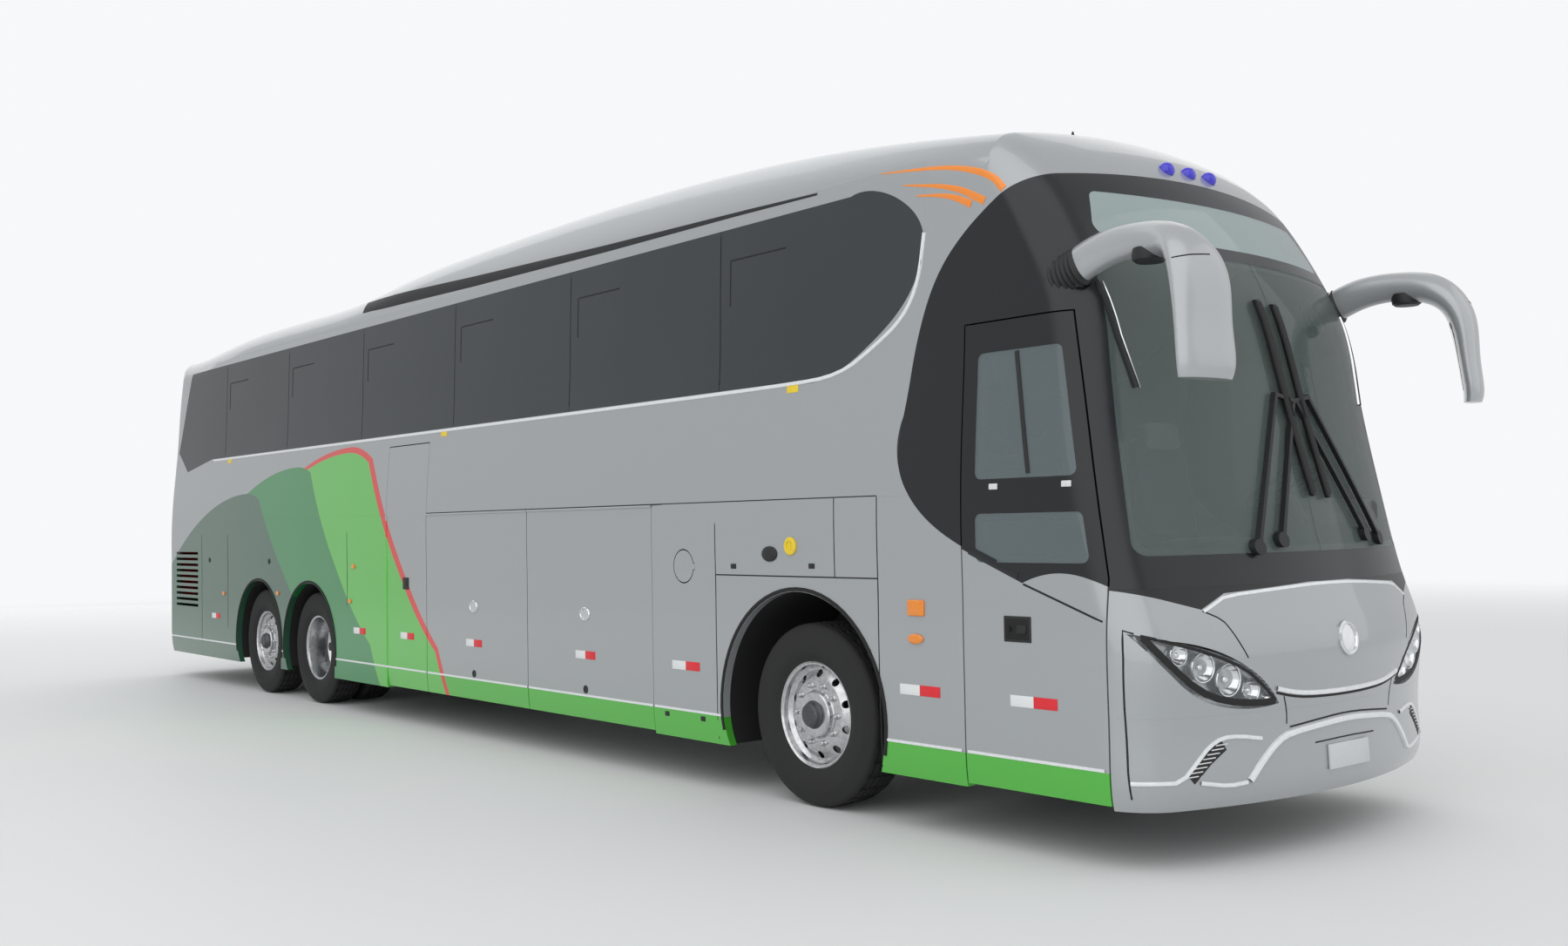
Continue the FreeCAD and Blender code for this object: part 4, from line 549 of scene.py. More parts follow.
# %% Turned and rounded shapes, placed on the skin


def mm(*numbers):
    """A profile's points in metres, from a row of millimetres: two numbers a point."""
    return [(a / 1000, b / 1000) for a, b in zip(numbers[::2], numbers[1::2])]


def turned(profile, steps=24, stretch=(1, 1, 1)):
    """Spins a profile of radius and height about Z."""
    work = bmesh.new()
    verts = [work.verts.new((r, 0, h)) for r, h in profile]
    edges = [work.edges.new(pair) for pair in zip(verts, verts[1:])]
    bmesh.ops.spin(work, geom=verts + edges, cent=(0, 0, 0), axis=(0, 0, 1),
                   angle=2 * math.pi, steps=steps, use_merge=True)
    bmesh.ops.remove_doubles(work, verts=work.verts, dist=0.00001)
    bmesh.ops.scale(work, vec=stretch, verts=work.verts)
    return work


def block(size, edge, segments=2):
    """A box with rounded edges."""
    work = bmesh.new()
    bmesh.ops.create_cube(work, size=1)
    bmesh.ops.scale(work, vec=size, verts=work.verts)
    bmesh.ops.bevel(work, geom=work.edges[:], offset=edge, affect="EDGES", segments=segments,
                    profile=0.5, material=-1)
    return work


def stand(where, normal, up=TOP):
    """The frame of a shape that stands on a surface: Z is the normal, Y is up."""
    across = up.cross(normal).normalized()
    turn = Matrix((across, normal.cross(across), normal)).transposed().to_4x4()
    return Matrix.Translation(where) @ turn


def gather(store, body, work, matrix, slot=0):
    """Adds a placed shape to the one mesh that collects such shapes for a body."""
    bmesh.ops.transform(work, matrix=matrix, verts=work.verts)
    if slot:
        for face in work.faces:
            face.material_index = slot
    mesh = bpy.data.meshes.new("scrap")
    work.to_mesh(mesh)
    work.free()
    store.setdefault(body, bmesh.new()).from_mesh(mesh)
    bpy.data.meshes.remove(mesh)


def make_all(label, store, *finishes):
    for body, work in store.items():
        piece(f"{label}_on_{body}", work, body, *finishes)


def on_skin(store, shape, out, places, slot=0, lift=0.0, shift=0.0):
    """Puts copies of a shape at places in side or front view."""
    for place in places:
        hit = touch(at(out, *place), out)
        if hit:
            spot = stand(*hit[:2]) @ Matrix.Translation((shift, 0, lift))
            gather(store, hit[2], shape.copy(), spot, slot)
    shape.free()

# %% [markdown]
# ## Seams and mouldings
# The fixed panels meet with a hairline, so the real coach's black sealant shows as thin lines.
# Places are given from the front axle, in metres, as they were read off the photograph, and
# serve both sides wherever the left side has the same panel.

# %% Sealant lines on the sides
SIDE_SEAMS = [((-0.63, 0.31), (-0.63, 1.745)), ((-0.63, 1.307), (0.80, 1.307)),
              ((-0.287, 1.307), (-0.287, 1.745)), ((-0.63, 1.748), (4.69, 1.748)),
              ((0.80, 0.31), (0.80, 1.745)), ((5.45, 1.60), (11.2, 1.60)),
              ((6.26, 0.95), (6.26, 1.60)), ((10.15, 0.31), (10.15, 1.60)),
              ((9.33, 0.62), (9.33, 1.60))]
for word, out in SIDES:
    for i, ends in enumerate(SIDE_SEAMS):
        lay(f"seam_{word}_{i}", ends, out, step=0.15)
lay("seam_left_nose", [(-2.12, 0.33), (-2.12, 1.28)], LEFT, step=0.1)
# a dark line along the door's crease: painted shade in the crease
lay("door_crease", [(-1.64, 1.298), (-2.105, 1.135)], RIGHT, 0.012)

# %% Mouldings with painted highlights, a band of painted shade under the roof fairing, roof films and the joints of the side glass
SILL = [(-0.955, 3.12), (-0.915, 2.87), (-0.80, 2.69), (-0.58, 2.56), (-0.30, 2.428),
        (0.15, 2.41), (2.5, 2.41), (9.9, 2.415)]
# the dark band under the roof fairing's edge: painted shade in the gap below the fairing
ROOF_SHADE_BAND = [(-0.1, 3.485), (0.6, 3.50), (2.1, 3.52), (4.0, 3.56), (6.1, 3.62)]
FILMS = [[(-0.60, 3.50), (-1.04, 3.45), (-1.26, 3.40), (-1.43, 3.33), (-1.50, 3.25)],
         [(-0.80, 3.40), (-1.17, 3.325), (-1.38, 3.21)],
         [(-0.90, 3.325), (-1.136, 3.285), (-1.29, 3.21)]]
PANE_JOINTS = (0.80, 2.55, 4.30, 6.05, 7.80, 9.55)
for word, out in SIDES:
    # the skirt and sill mouldings are pale strips that carry painted highlights along the skirt's
    # top and the window sill
    lay(f"skirt_moulding_{word}", [(-2.10, 0.458), (11.2, 0.458)], out, 0.018, 0.004,
        pale_trim_and_highlight, 0.02)
    lay(f"sill_moulding_{word}", SILL, out, 0.026, 0.006, pale_trim_and_highlight, rounds=2)
    # the roof band: painted shade under the roof fairing's edge
    lay(f"roof_gutter_{word}", ROOF_SHADE_BAND, out, 0.13, 0.004, black_trim_and_shade, 0.08, (0.12, 1.0))
    for i, film in enumerate(FILMS):
        lay(f"orange_film_{word}_{i}", film, out, 0.048, 0.0015, orange_film, 0.03,
            (0.15, 1.0), rounds=2)
    for i, y in enumerate(PANE_JOINTS):
        lay(f"glass_joint_{word}_{i}", [(y, 2.46), (y, 3.38)], out, 0.010, 0.001, step=0.08)
        vent = [(y - 0.10, 2.94), (y - 0.10, 3.22), (y - 0.62, 3.22)]
        lay(f"vent_line_{word}_{i}", vent, out, 0.012, 0.0025, step=0.04)

# %% Rubber lips round the wheel arches
ARCHES = ((0.04, 0.700), (7.15, 0.610), (8.45, 0.610))
for i, (centre, radius) in enumerate(ARCHES):
    turns = [math.radians(-12 + 204 * k / 36) for k in range(37)]
    ring = [(centre + (radius + 0.014) * math.cos(turn),
             HUB_Z + (radius + 0.014) * math.sin(turn)) for turn in turns]
    lip = [(y, z) for y, z in ring if z > 0.30 and all(
        math.hypot(y - c, z - HUB_Z) > r for c, r in ARCHES)]
    for word, out in SIDES:
        lay(f"arch_lip_{word}_{i}", lip, out, 0.026, 0.008, step=0.06)

# %% Bars of the entry door's window
lay("door_window_post", [(-1.592, 2.43), (-1.683, 1.83)], RIGHT, 0.030, 0.006, black_trim_and_shade,
    0.04)
lay("door_edge_trim", [(-1.295, 1.462), (-1.61, 1.336)], RIGHT, 0.050, 0.002, mask_black, 0.04)

# %% Nose creases and bumper line, drawn with painted highlights and painted shade


def whole(half, middle):
    """A line across the nose, from its right half and its height in the middle."""
    return half + [(0, middle)] + on_side(-1, reversed(half))


def below(line, drop):
    return [(a, z - drop) for a, z in line]


CREASE_LINE = whole([(-0.555, 0.802), (-0.456, 0.780), (-0.335, 0.765), (-0.15, 0.759)], 0.758)
TOP_EDGE = whole([(-0.925, 1.172), (-0.85, 1.204), (-0.775, 1.238), (-0.45, 1.258),
                  (-0.2, 1.270)], 1.273)
BUMPER_HALF = [(-0.724, 0.392), (-0.644, 0.476), (-0.540, 0.556), (-0.451, 0.588),
               (-0.180, 0.611)]
# the crease, top edge and bumper line are pale strips of painted highlight; the strips named _shade
# below them are painted shade
for name, line, look in (
        ("nose_crease", CREASE_LINE, (0.026, 0.010, pale_trim_and_highlight)),
        ("nose_crease_shade", below(CREASE_LINE, 0.020), (0.014, 0.002)),
        ("nose_top_edge", TOP_EDGE, (0.018, 0.003, pale_trim_and_highlight)),
        ("bumper_line", whole(BUMPER_HALF, 0.618), (0.036, 0.014, pale_trim_and_highlight, 0.04)),
        ("bumper_shade", below(whole(BUMPER_HALF[3:], 0.618), -0.026),
         (0.010, 0.002, sealant_and_painted_shade, 0.04)),
        ("plate_shade", whole([(-0.27, 0.523)], 0.530), (0.008, 0.003, sealant_and_painted_shade, 0.04))):
    lay(name, line, FRONT, *look, rounds=1)

# %% Fog recess and seams of the nose
FOG_LINES = (("rim", ((1.267, -2.216, 0.412), (1.192, -2.311, 0.414), (1.098, -2.365, 0.413),
                      (1.002, -2.394, 0.506), (0.943, -2.411, 0.564), (0.871, -2.432, 0.598),
                      (0.772, -2.458, 0.598), (0.640, -2.488, 0.577))),
             ("sill", ((1.000, -2.400, 0.404), (0.845, -2.444, 0.378), (0.740, -2.473, 0.386))))
FOG_RECESS = ((1.050, 0.425), (0.955, 0.510), (0.865, 0.570))
NOSE_SEAMS = (("notch", ((0.93, 1.175), (0.838, 1.134), (0.804, 1.081), (0.771, 1.021),
                         (0.734, 0.955))),
              ("centre", ((0.502, 0.762), (0.478, 0.695), (0.474, 0.630))))
CORNER = ((-2.275, 1.062), (-2.240, 1.084), (-2.197, 1.098), (-2.203, 0.974), (-2.200, 0.743),
          (-2.207, 0.462), (-2.215, 0.340))
for word, out in SIDES:
    side = out.x
    oblique = Vector((side * 0.6, -0.8, 0))
    for label, line in NOSE_SEAMS:
        lay(f"nose_seam_{label}_{word}", on_side(side, line), FRONT, step=0.04, rounds=1)
    # the pale rim and sill of each fog recess are painted highlights
    for label, line in FOG_LINES:
        lay(f"fog_{label}_{word}", on_side(side, line), oblique, 0.022, 0.008, pale_trim_and_highlight,
            0.03, rounds=1)
    lay("nose_corner_seam_" + word, CORNER, out, 0.011, step=0.04)
    # the fog recess is a flat black sheet: painted shade in the recess, with chrome slats over it
    lay(f"fog_recess_{word}", on_side(side, FOG_RECESS), FRONT, 0.075, 0.001, black_trim_and_shade,
        0.03)
    for k in range(8):
        x, z = 1.045 - 0.024 * k, 0.432 + 0.019 * k
        slat = on_side(side, ((x + 0.034, z), (x - 0.034, z + 0.004)))
        lay(f"fog_slat_{word}_{k}", slat, FRONT, 0.007, 0.006, chrome, 0.02)

# %% [markdown]
# ## Hardware on the sides
# Reflectors are two-tone tape on every lower panel. The filler knobs, lock badges and handles
# are turned or rounded shapes, and ride on the door or panel under them.

# %% Reflectors, locks, handles and lamps
tape, locks, handles, lights, knobs, tags = {}, {}, {}, {}, {}, {}
BAY_DOORS = (2.29, 3.89)
for out in (RIGHT, LEFT):
    for y in (-1.69, -0.93, 1.12, *BAY_DOORS, 5.05, 6.0, 9.7):
        half = 0.125 if y > 1.5 else 0.145
        for slot, way in ((0, out.x), (1, -out.x)):
            on_skin(tape, block((half, 0.055, 0.004), 0.0015), out, [(y, 0.735)], slot, 0.0005,
                    way * half / 2)
    on_skin(locks, turned(mm(48, -2, 48, 4, 43, 9, 36, 9, 33, 4, 0, 4), 32, (1.35, 1, 1)), out,
            [(y, 1.015) for y in BAY_DOORS])
    on_skin(handles, turned(mm(28, -2, 28, 3, 24, 5, 20, 2, 0, 2), 24), out,
            [(y, 0.50) for y in BAY_DOORS])
    on_skin(handles, block((0.05, 0.03, 0.008), 0.003), out, [(-0.095, 1.368), (0.62, 1.36)])
    on_skin(handles, block((0.045, 0.03, 0.008), 0.003), out, [(0.95, 0.42), (1.33, 0.42)])
    on_skin(handles, turned(mm(60, -2, 60, 6, 50, 12, 20, 16, 0, 16), 24, (1.15, 0.75, 1)), out,
            [(0.274, 1.435)])
    for size, edge in (((0.11, 0.10, 0.010), 0.004), ((0.055, 0.045, 0.020), 0.006)):
        on_skin(handles, block(size, edge), out, [(5.07, 1.17)])
    on_skin(handles, turned(mm(26, -2, 26, 4, 0, 6), 20), out,
            [(8.15, 1.33), (9.9, 1.33), (10.6, 1.33)])
    on_skin(lights, block((0.12, 0.085, 0.026), 0.010, 3), out, [(-0.915, 1.16)])
    on_skin(lights, turned(mm(42, -2, 42, 8, 30, 14, 0, 16), 24,
                           (1.3, 0.62, 1)), out, [(-0.91, 1.00)])
    on_skin(lights, turned(mm(26, -2, 26, 8, 0, 14), 20, (1.3, 0.8, 1)),
            out, [(6.12, 1.30), (6.2, 0.99), (7.92, 1.02), (9.45, 0.98)])
    on_skin(knobs, turned(mm(52, -2, 52, 8, 44, 14, 30, 14, 26, 6, 0, 6), 32), out, [(0.084, 1.48)])
    on_skin(knobs, block((0.018, 0.075, 0.022), 0.006), out, [(0.084, 1.48)])
    on_skin(tags, block((0.10, 0.045, 0.004), 0.0015), out,
            [(y, 2.385) for y in (0.10, 4.45, 9.4)])
make_all("reflector_tape", tape, white_tape, red_tape)
make_all("lock_badge", locks, chrome)
make_all("side_handle", handles, black_trim_and_shade)
make_all("side_lamp", lights, amber)
make_all("filler_knob", knobs, warning_yellow)
make_all("sill_tag", tags, warning_yellow)

# %% Entry door's handle and lamps
door_parts, door_lights = {}, {}
HANDLE_Z = 1.08
for size, edge, segments, y, slot in (
        ((0.17, 0.125, 0.008), 0.003, 2, -1.60, 0), ((0.15, 0.105, 0.010), 0.004, 2, -1.60, 1),
        ((0.06, 0.045, 0.028), 0.009, 3, -1.63, 0)):
    on_skin(door_parts, block(size, edge, segments), RIGHT, [(y, HANDLE_Z)], slot)
on_skin(door_parts, turned(mm(14, -2, 14, 16, 0, 18), 16), RIGHT,
        [(-1.55, HANDLE_Z)], 1)
make_all("door_handle", door_parts, black_trim_and_shade, hole_black)
on_skin(door_lights, block((0.055, 0.030, 0.010), 0.004), RIGHT,
        [(-1.461, 1.772), (-1.915, 1.772)])
make_all("door_lamp", door_lights, clear_lens)

# %% Nose badge, number plates and roof antenna
badge, plates, antenna = {}, {}, {}
on_skin(badge, turned(mm(85, -4, 85, 6, 76, 14, 68, 12, 64, 5, 0, 8), 48), FRONT, [(0.0, 1.005)])
on_skin(plates, block((0.36, 0.12, 0.012), 0.004), FRONT, [(0.0, 0.445)], lift=0.004)
on_skin(plates, block((0.52, 0.12, 0.012), 0.004), REAR, [(0.0, 0.62)], lift=0.004)
make_all("nose_badge", badge, chrome)
make_all("plate", plates, blank_plate)
foot = touch(at(TOP, -0.35, -1.25), TOP)[0]
gather(antenna, ROOT, turned(mm(30, -4, 30, 6, 12, 16, 6, 50, 4, 55, 0, 56), 16),
       Matrix.Translation(foot))
make_all("antenna", antenna, black_trim_and_shade)

# %% [markdown]
# ## Wheels
# A tyre is its section spun about the axle: bead, sidewall with its ribs, shoulder and five
# grooves. Short cuts across the shoulder blocks are pressed in afterwards, on every third
# face. The front and rear wheel discs differ as on any coach: the front one bulges out round
# its hub, the driven pair is dished. Ten hand holes are cut through by a boolean, and the ten
# nuts and the hub cover are turned.

# %% Tyre sections
TYRE_STEPS, DISC_STEPS = 96, 72
SIDEWALL = mm(100, 292, 108, 294, 118, 302, 124, 312, 134, 335, 137, 340, 141, 360, 145.5, 385,
              147.5, 420, 146.5, 440, 144.5, 445, 143.5, 455, 138, 478, 136, 485, 131, 498,
              126, 507, 118, 513.5, 106, 517.5)
TREAD = mm(92, 518.5, 90.5, 506, 83.5, 506, 82, 519, 48, 520.5, 46.5, 507, 38.5, 507, 37, 520.5,
           4.5, 521.5, 3.5, 508.5)


def on_axle(points, side):
    """Section points (outward, radius) as vertices in the XZ plane."""
    return [(side * a, 0, r) for a, r in points]


def spun(points, steps, closed=False):
    """Spins a section about the X axis."""
    work = bmesh.new()
    verts = [work.verts.new(p) for p in points]
    edges = [work.edges.new(pair) for pair in zip(verts, verts[1:])]
    if closed:
        edges.append(work.edges.new((verts[-1], verts[0])))
    bmesh.ops.spin(work, geom=verts + edges, cent=(0, 0, 0), axis=(1, 0, 0),
                   angle=2 * math.pi, steps=steps, use_merge=True)
    bmesh.ops.remove_doubles(work, verts=work.verts, dist=0.00001)
    return work


def tyre():
    """One tyre about the origin, with cuts pressed into its shoulder blocks."""
    half = SIDEWALL + TREAD
    work = spun(on_axle(half, 1) + on_axle(half[::-1], -1), TYRE_STEPS)
    cuts = []
    for face in work.faces:
        spot = face.calc_center_median()
        radius = math.hypot(spot.y, spot.z)
        step = round(math.atan2(spot.z, spot.y) / (2 * math.pi) * TYRE_STEPS - 0.5) % 3
        if radius > 0.516 and step == 0 and (abs(spot.x) > 0.09 or abs(spot.x) < 0.08):
            cuts.append(face)
    bmesh.ops.inset_individual(work, faces=cuts, thickness=0.0035, depth=-0.007)
    return work

# %% Sections of the wheel discs, hub cover, hub and nut
FRONT_DISC = mm(115, 304, 118, 302, 115, 299, 109, 292, 108, 284, 85, 277, 78, 270, 70, 262,
                66, 252, 70, 240, 83, 222, 92, 208, 95, 198, 95, 140, 100, 134, 122, 131, 130, 124,
                130, 30, 81, 30, 81, 200, 54, 240, 54, 274, -115, 274, -115, 304, -103, 304,
                -103, 287, 103, 287, 103, 304)
DRIVE_DISC = mm(282.5, 304, 285, 300, 282.5, 295, 280.5, 284, 262, 276, 85, 270, 60, 250,
                28, 211.6, 14, 171.6, 14, 112, 60, 110, 60, 30, 0, 30, 0, 274, -270, 274,
                -282.5, 304, -272, 304, -265, 287, 272, 287, 272, 304)
COVER = mm(80, -4, 80, 4, 74, 10, 66, 30, 50, 38, 46, 36, 30, 36, 0, 38)
HUB = mm(104, -4, 104, 6, 98, 14, 92, 52, 84, 66, 70, 72, 66, 70, 30, 71, 0, 72)
NUT = mm(17.5, -4, 17.5, 4, 14.5, 8, 14.5, 24, 11, 30, 6, 31.5, 0, 32)
NUTS = 10  # and as many hand holes between them
TO_AXLE = Matrix(((0, 0, 1, 0), (0, 1, 0, 0), (-1, 0, 0, 0), (0, 0, 0, 1)))
print("points in the disc sections", len(FRONT_DISC), len(DRIVE_DISC))

# %% Discs with hand holes and nuts


def bored(work, radius, hole, near, far):
    """Cuts round hand holes along the axle with a boolean, and returns the result."""
    tools = {}
    for k in range(NUTS):
        pin = bmesh.new()
        bmesh.ops.create_cone(pin, cap_ends=True, segments=24, radius1=hole, radius2=hole,
                              depth=far - near)
        angle = 2 * math.pi * (k + 0.5) / NUTS
        place = Matrix.Translation(((near + far) / 2, radius * math.cos(angle),
                                    radius * math.sin(angle))) @ TO_AXLE
        gather(tools, "pins", pin, place)
    things = []
    for name, shape in (("disc_scrap", work), ("pin_scrap", tools["pins"])):
        bmesh.ops.recalc_face_normals(shape, faces=shape.faces)
        things.append(bare(name, shape))
    cut = things[0].modifiers.new("cut", "BOOLEAN")
    cut.operation, cut.object, cut.solver = "DIFFERENCE", things[1], "EXACT"
    bpy.context.view_layer.update()
    result = bmesh.new()
    result.from_object(things[0], bpy.context.evaluated_depsgraph_get())
    for thing in things:
        bpy.data.objects.remove(thing)
    return result


def wheel_disc(section, radius, hole, near, far, nut_face, nut_circle, centre, centre_face):
    """Disc, nuts and hub cover of one wheel, its outside towards +X."""
    store = {}
    gather(store, "disc", bored(spun(on_axle(section, 1), DISC_STEPS, True), radius, hole,
                                near, far),
           Matrix())
    for k in range(NUTS):
        angle = 2 * math.pi * k / NUTS
        spot = Matrix.Translation((nut_face, nut_circle * math.cos(angle),
                                   nut_circle * math.sin(angle)))
        gather(store, "disc", turned(NUT, 16), spot @ TO_AXLE)
    gather(store, "disc", turned(centre, 40), Matrix.Translation((centre_face, 0, 0)) @ TO_AXLE,
           1)
    return store["disc"]


DISCS = {"front": wheel_disc(FRONT_DISC, 0.231, 0.022, 0.03, 0.13, 0.095, 0.1675, COVER, 0.130),
         "drive": wheel_disc(DRIVE_DISC, 0.222, 0.024, -0.02, 0.09, 0.014, 0.1500, HUB, 0.060)}
SPARE_TYRE = tyre()
print("faces of a tyre", len(SPARE_TYRE.faces), "and a disc", len(DISCS["front"].faces))

# %% Dress every wheel


def dress_wheel(label, node_tyre, node_rim, disc, rows):
    """Places copies of the tyre and disc where the CAD wheel stands."""
    low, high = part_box(node_tyre)
    centre = (Vector(low) + Vector(high)) / 2
    side = 1 if centre.x > 0 else -1
    flip = Matrix.Translation(centre) @ Matrix.Diagonal((side, 1, 1, 1))
    tyres, discs = {}, {}
    for row in rows:
        gather(tyres, "all", SPARE_TYRE.copy(), flip @ Matrix.Translation((row, 0, 0)))
    gather(discs, "all", DISCS[disc].copy(), flip)
    stand_for(piece(label + "_tyre", tyres["all"], BODY_OF[node_tyre], rubber), node_tyre)
    stand_for(piece(label + "_wheel", discs["all"], BODY_OF[node_rim], wheel_steel, hub_iron),
              node_rim)


low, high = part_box("drive_tyres_right")
TWIN = (high[0] - low[0]) / 2 - 0.1475
for side in ("right", "left"):
    dress_wheel("front_" + side, "front_tyre_" + side, "front_rim_" + side, "front", [0])
    dress_wheel("tag_" + side, "tag_tyre_" + side, "tag_rim_" + side, "front", [0])
    dress_wheel("drive_" + side, "drive_tyres_" + side, "drive_rims_" + side, "drive",
                [-TWIN, TWIN])
SPARE_TYRE.free()
for work in DISCS.values():
    work.free()
print("twin tyres lie", round(TWIN, 3), "either side of the middle")

# %% [markdown]
# ## Headlamps
# The CAD lamp is one clear block that fills its hole. Its outer faces become a thin lens, and
# the rest of it a dark housing. Between them stand four chrome reflectors, as a row that
# follows the leaf, each a shallow bowl with a bulb and a bright rim.

# %% Housing, lens and bowls
LAMP_SKIN = tree_of(["head_lamps"])
BOWLS = ((1.095, 0.985, 0.050), (0.975, 0.922, 0.070), (0.835, 0.858, 0.078),
         (0.698, 0.800, 0.058), (0.605, 0.763, 0.030))
BOWL = [(1.0, 0.10), (1.06, 0.12), (1.08, 0.05), (1.0, -0.10), (0.94, 0.04), (0.80, -0.22),
        (0.58, -0.44), (0.32, -0.56), (0.20, -0.58), (0.20, -0.20), (0.12, -0.10), (0.0, -0.08)]
BORDERS = (("low", 0.034, ((1.232, 1.066), (1.150, 0.940), (1.010, 0.820), (0.860, 0.762),
                           (0.660, 0.742), (0.560, 0.744))),
           ("high", 0.016, ((1.236, 1.074), (1.120, 1.038), (0.930, 0.980), (0.745, 0.903),
                            (0.630, 0.815), (0.555, 0.748))))


def lamp_faces(outer):
    """The lamp block's faces that look outwards, or all the others."""
    work = merged("head_lamps")
    drop = [f for f in work.faces if (f.normal.y < -0.25 and abs(f.calc_center_median().x) < 1.3)
            != outer]
    bmesh.ops.delete(work, geom=drop, context="FACES")
    return work


shell = lamp_faces(True)
bmesh.ops.solidify(shell, geom=shell.faces[:], thickness=0.003)
stand_for(piece("headlamp_lens", shell, ROOT, lens_glass), "head_lamps")
piece("headlamp_housing", lamp_faces(False), ROOT, lamp_silver)
bowls = {}
for word, out in SIDES:
    for x, z, r in BOWLS:
        hit = touch(at(FRONT, out.x * x, z), FRONT, LAMP_SKIN)
        if hit:
            normal = hit[1].lerp(FRONT, 0.6).normalized()
            shape = turned([(a * r, h * r) for a, h in BOWL], 40, (1.0, 0.92, 1))
            gather(bowls, ROOT, shape, stand(hit[0] - normal * 0.020, normal))
    oblique = Vector((out.x * 0.5, -0.866, 0))
    for label, wide, line in BORDERS:
        hits = [touch(at(FRONT, *p), FRONT, LAMP_SKIN) for p in on_side(out.x, line)]
        strip(f"headlamp_border_{label}_{word}", curved([hit[0] for hit in hits if hit], 1),
              oblique, wide, 0.003, step=0.03, skin=LAMP_SKIN)
make_all("headlamp_bowls", bowls, chrome)

# %% [markdown]
# ## Mirrors
# The CAD arms and heads are already one smooth sweep. Each gets the ribbed bellows that covers
# its joint with the body, and the glass that looks back along the side.

# %% Bellows and mirror glass
MIRROR_SKIN = tree_of(["mirrors"])
RIBS = [(0.0, -0.005), (0.086, -0.005)]
for k in range(8):
    RIBS += [(0.094, 0.010 + 0.029 * k), (0.101, 0.017 + 0.029 * k), (0.094, 0.024 + 0.029 * k),
             (0.086, 0.030 + 0.029 * k)]
RIBS += [(0.078, 0.240), (0.0, 0.240)]
PUCK = mm(0, -35, 62, -35, 76, -24, 80, 0, 76, 30, 0, 30)
JOINT = ((1.40, -2.45, 2.71), (1.349, -2.534, 2.725), (1.302, -2.626, 2.738),
         (1.24, -2.70, 2.743))
STAY = ((1.10, 2.73), (1.075, 2.467), (1.022, 2.217))
GLASS = ((1.205, 2.60), (1.225, 2.45), (1.245, 2.30))
BACK = ((1.205, 2.63), (1.225, 2.45), (1.245, 2.27))
bellows = {}
for word, out in SIDES:
    side = out.x
    root, onward, puck = (at(out, side * x, y, z) for x, y, z in (
        (1.150, -1.72, 2.742), (1.168, -1.95, 2.812), (1.18, -2.33, 2.795)))
    gather(bellows, ROOT, turned(RIBS, 32, (0.80, 1.0, 1)),
           stand(root, (onward - root).normalized()))
    gather(bellows, ROOT, turned(PUCK, 32), Matrix.Translation(puck))
    lay("mirror_joint_" + word, on_side(side, JOINT), Vector((side * 0.64, -0.768, 0)), 0.008,
        0.0015, step=0.02, skin=MIRROR_SKIN)
    stay = on_side(side, STAY)
    lay("mirror_stay_" + word, stay, FRONT, 0.030, 0.012, black_trim_and_shade, 0.04)
    lay("mirror_cable_" + word, [(x - side * 0.022, z) for x, z in stay], FRONT, 0.009, 0.008,
        chrome, 0.04)
    lay("mirror_back_" + word, on_side(side, BACK), REAR, 0.23, 0.002, black_trim_and_shade,
        skin=MIRROR_SKIN)
    lay("mirror_glass_" + word, on_side(side, GLASS), REAR, 0.17, 0.006, mirror_glass,
        skin=MIRROR_SKIN)
make_all("mirror_bellows", bellows, black_trim_and_shade)

# %% Wiper blades and the screen's joint
WIPER_SKIN = tree_of(["wipers"])
for i, ends in enumerate((((-0.131, 2.684), (0.010, 1.714)), ((0.008, 2.672), (0.156, 1.706)))):
    lay(f"wiper_blade_{i}", ends, FRONT, 0.050, 0.005, step=0.10, skin=WIPER_SKIN)
    for word, shift in (("a", -0.017), ("b", 0.017)):
        lay(f"wiper_rib_{i}_{word}", [(x + shift, z) for x, z in ends], FRONT, 0.007, 0.010,
            black_trim_and_shade, 0.10, skin=WIPER_SKIN)
lay("screen_joint", [(0, 2.93), (0, 1.40)], FRONT, 0.018, 0.002, step=0.08)

# %% [markdown]
# ## Seats
# A seat pad starts as a gridded cube, which a power of its coordinates rounds off. Its top is
# crowned, its sides pull in between the corners, and the sewn channels are pressed in where
# the cover is stitched down. The pads lie in the space of the CAD seats, two to a bench.

# %% A crowned pad with sewn channels
ROUNDING = 6  # power of the rounded box: the higher, the squarer
CHANNEL_WIDTH, CHANNEL_DEPTH = 0.09, 0.010  # share of half the pad, and metres
SEAT_HIGH, BACK_Y = 0.45, 0.50  # cushion over the floor, and back behind the cushion's front


def pad(size, face_axis, way, crown, channels, cuts=6):
    """A rounded cushion. Its crown and channels are on one face, along face_axis and way."""
    work = bmesh.new()
    bmesh.ops.create_cube(work, size=2)
    bmesh.ops.subdivide_edges(work, edges=work.edges[:], cuts=cuts, use_grid_fill=True)
    a, b = [i for i in range(3) if i != face_axis]
    for vert in work.verts:
        u = vert.co.copy()
        norm = sum(abs(c) ** ROUNDING for c in u) ** (1 / ROUNDING)
        u *= max(abs(c) for c in u) / norm
        bow = (1 - u[a] ** 2) * (1 - u[b] ** 2)
        u[a] *= 1 - 0.03 * (1 - u[b] ** 2)
        u[b] *= 1 - 0.03 * (1 - u[a] ** 2)
        spot = Vector([u[i] * size[i] / 2 for i in range(3)])
        if u[face_axis] * way > 0:
            dip = sum(math.exp(-((u[b] - c) / CHANNEL_WIDTH) ** 2) for c in channels)
            spot[face_axis] += way * (crown * bow - CHANNEL_DEPTH * dip)
        vert.co = spot
    return work

# %% One seat of pads


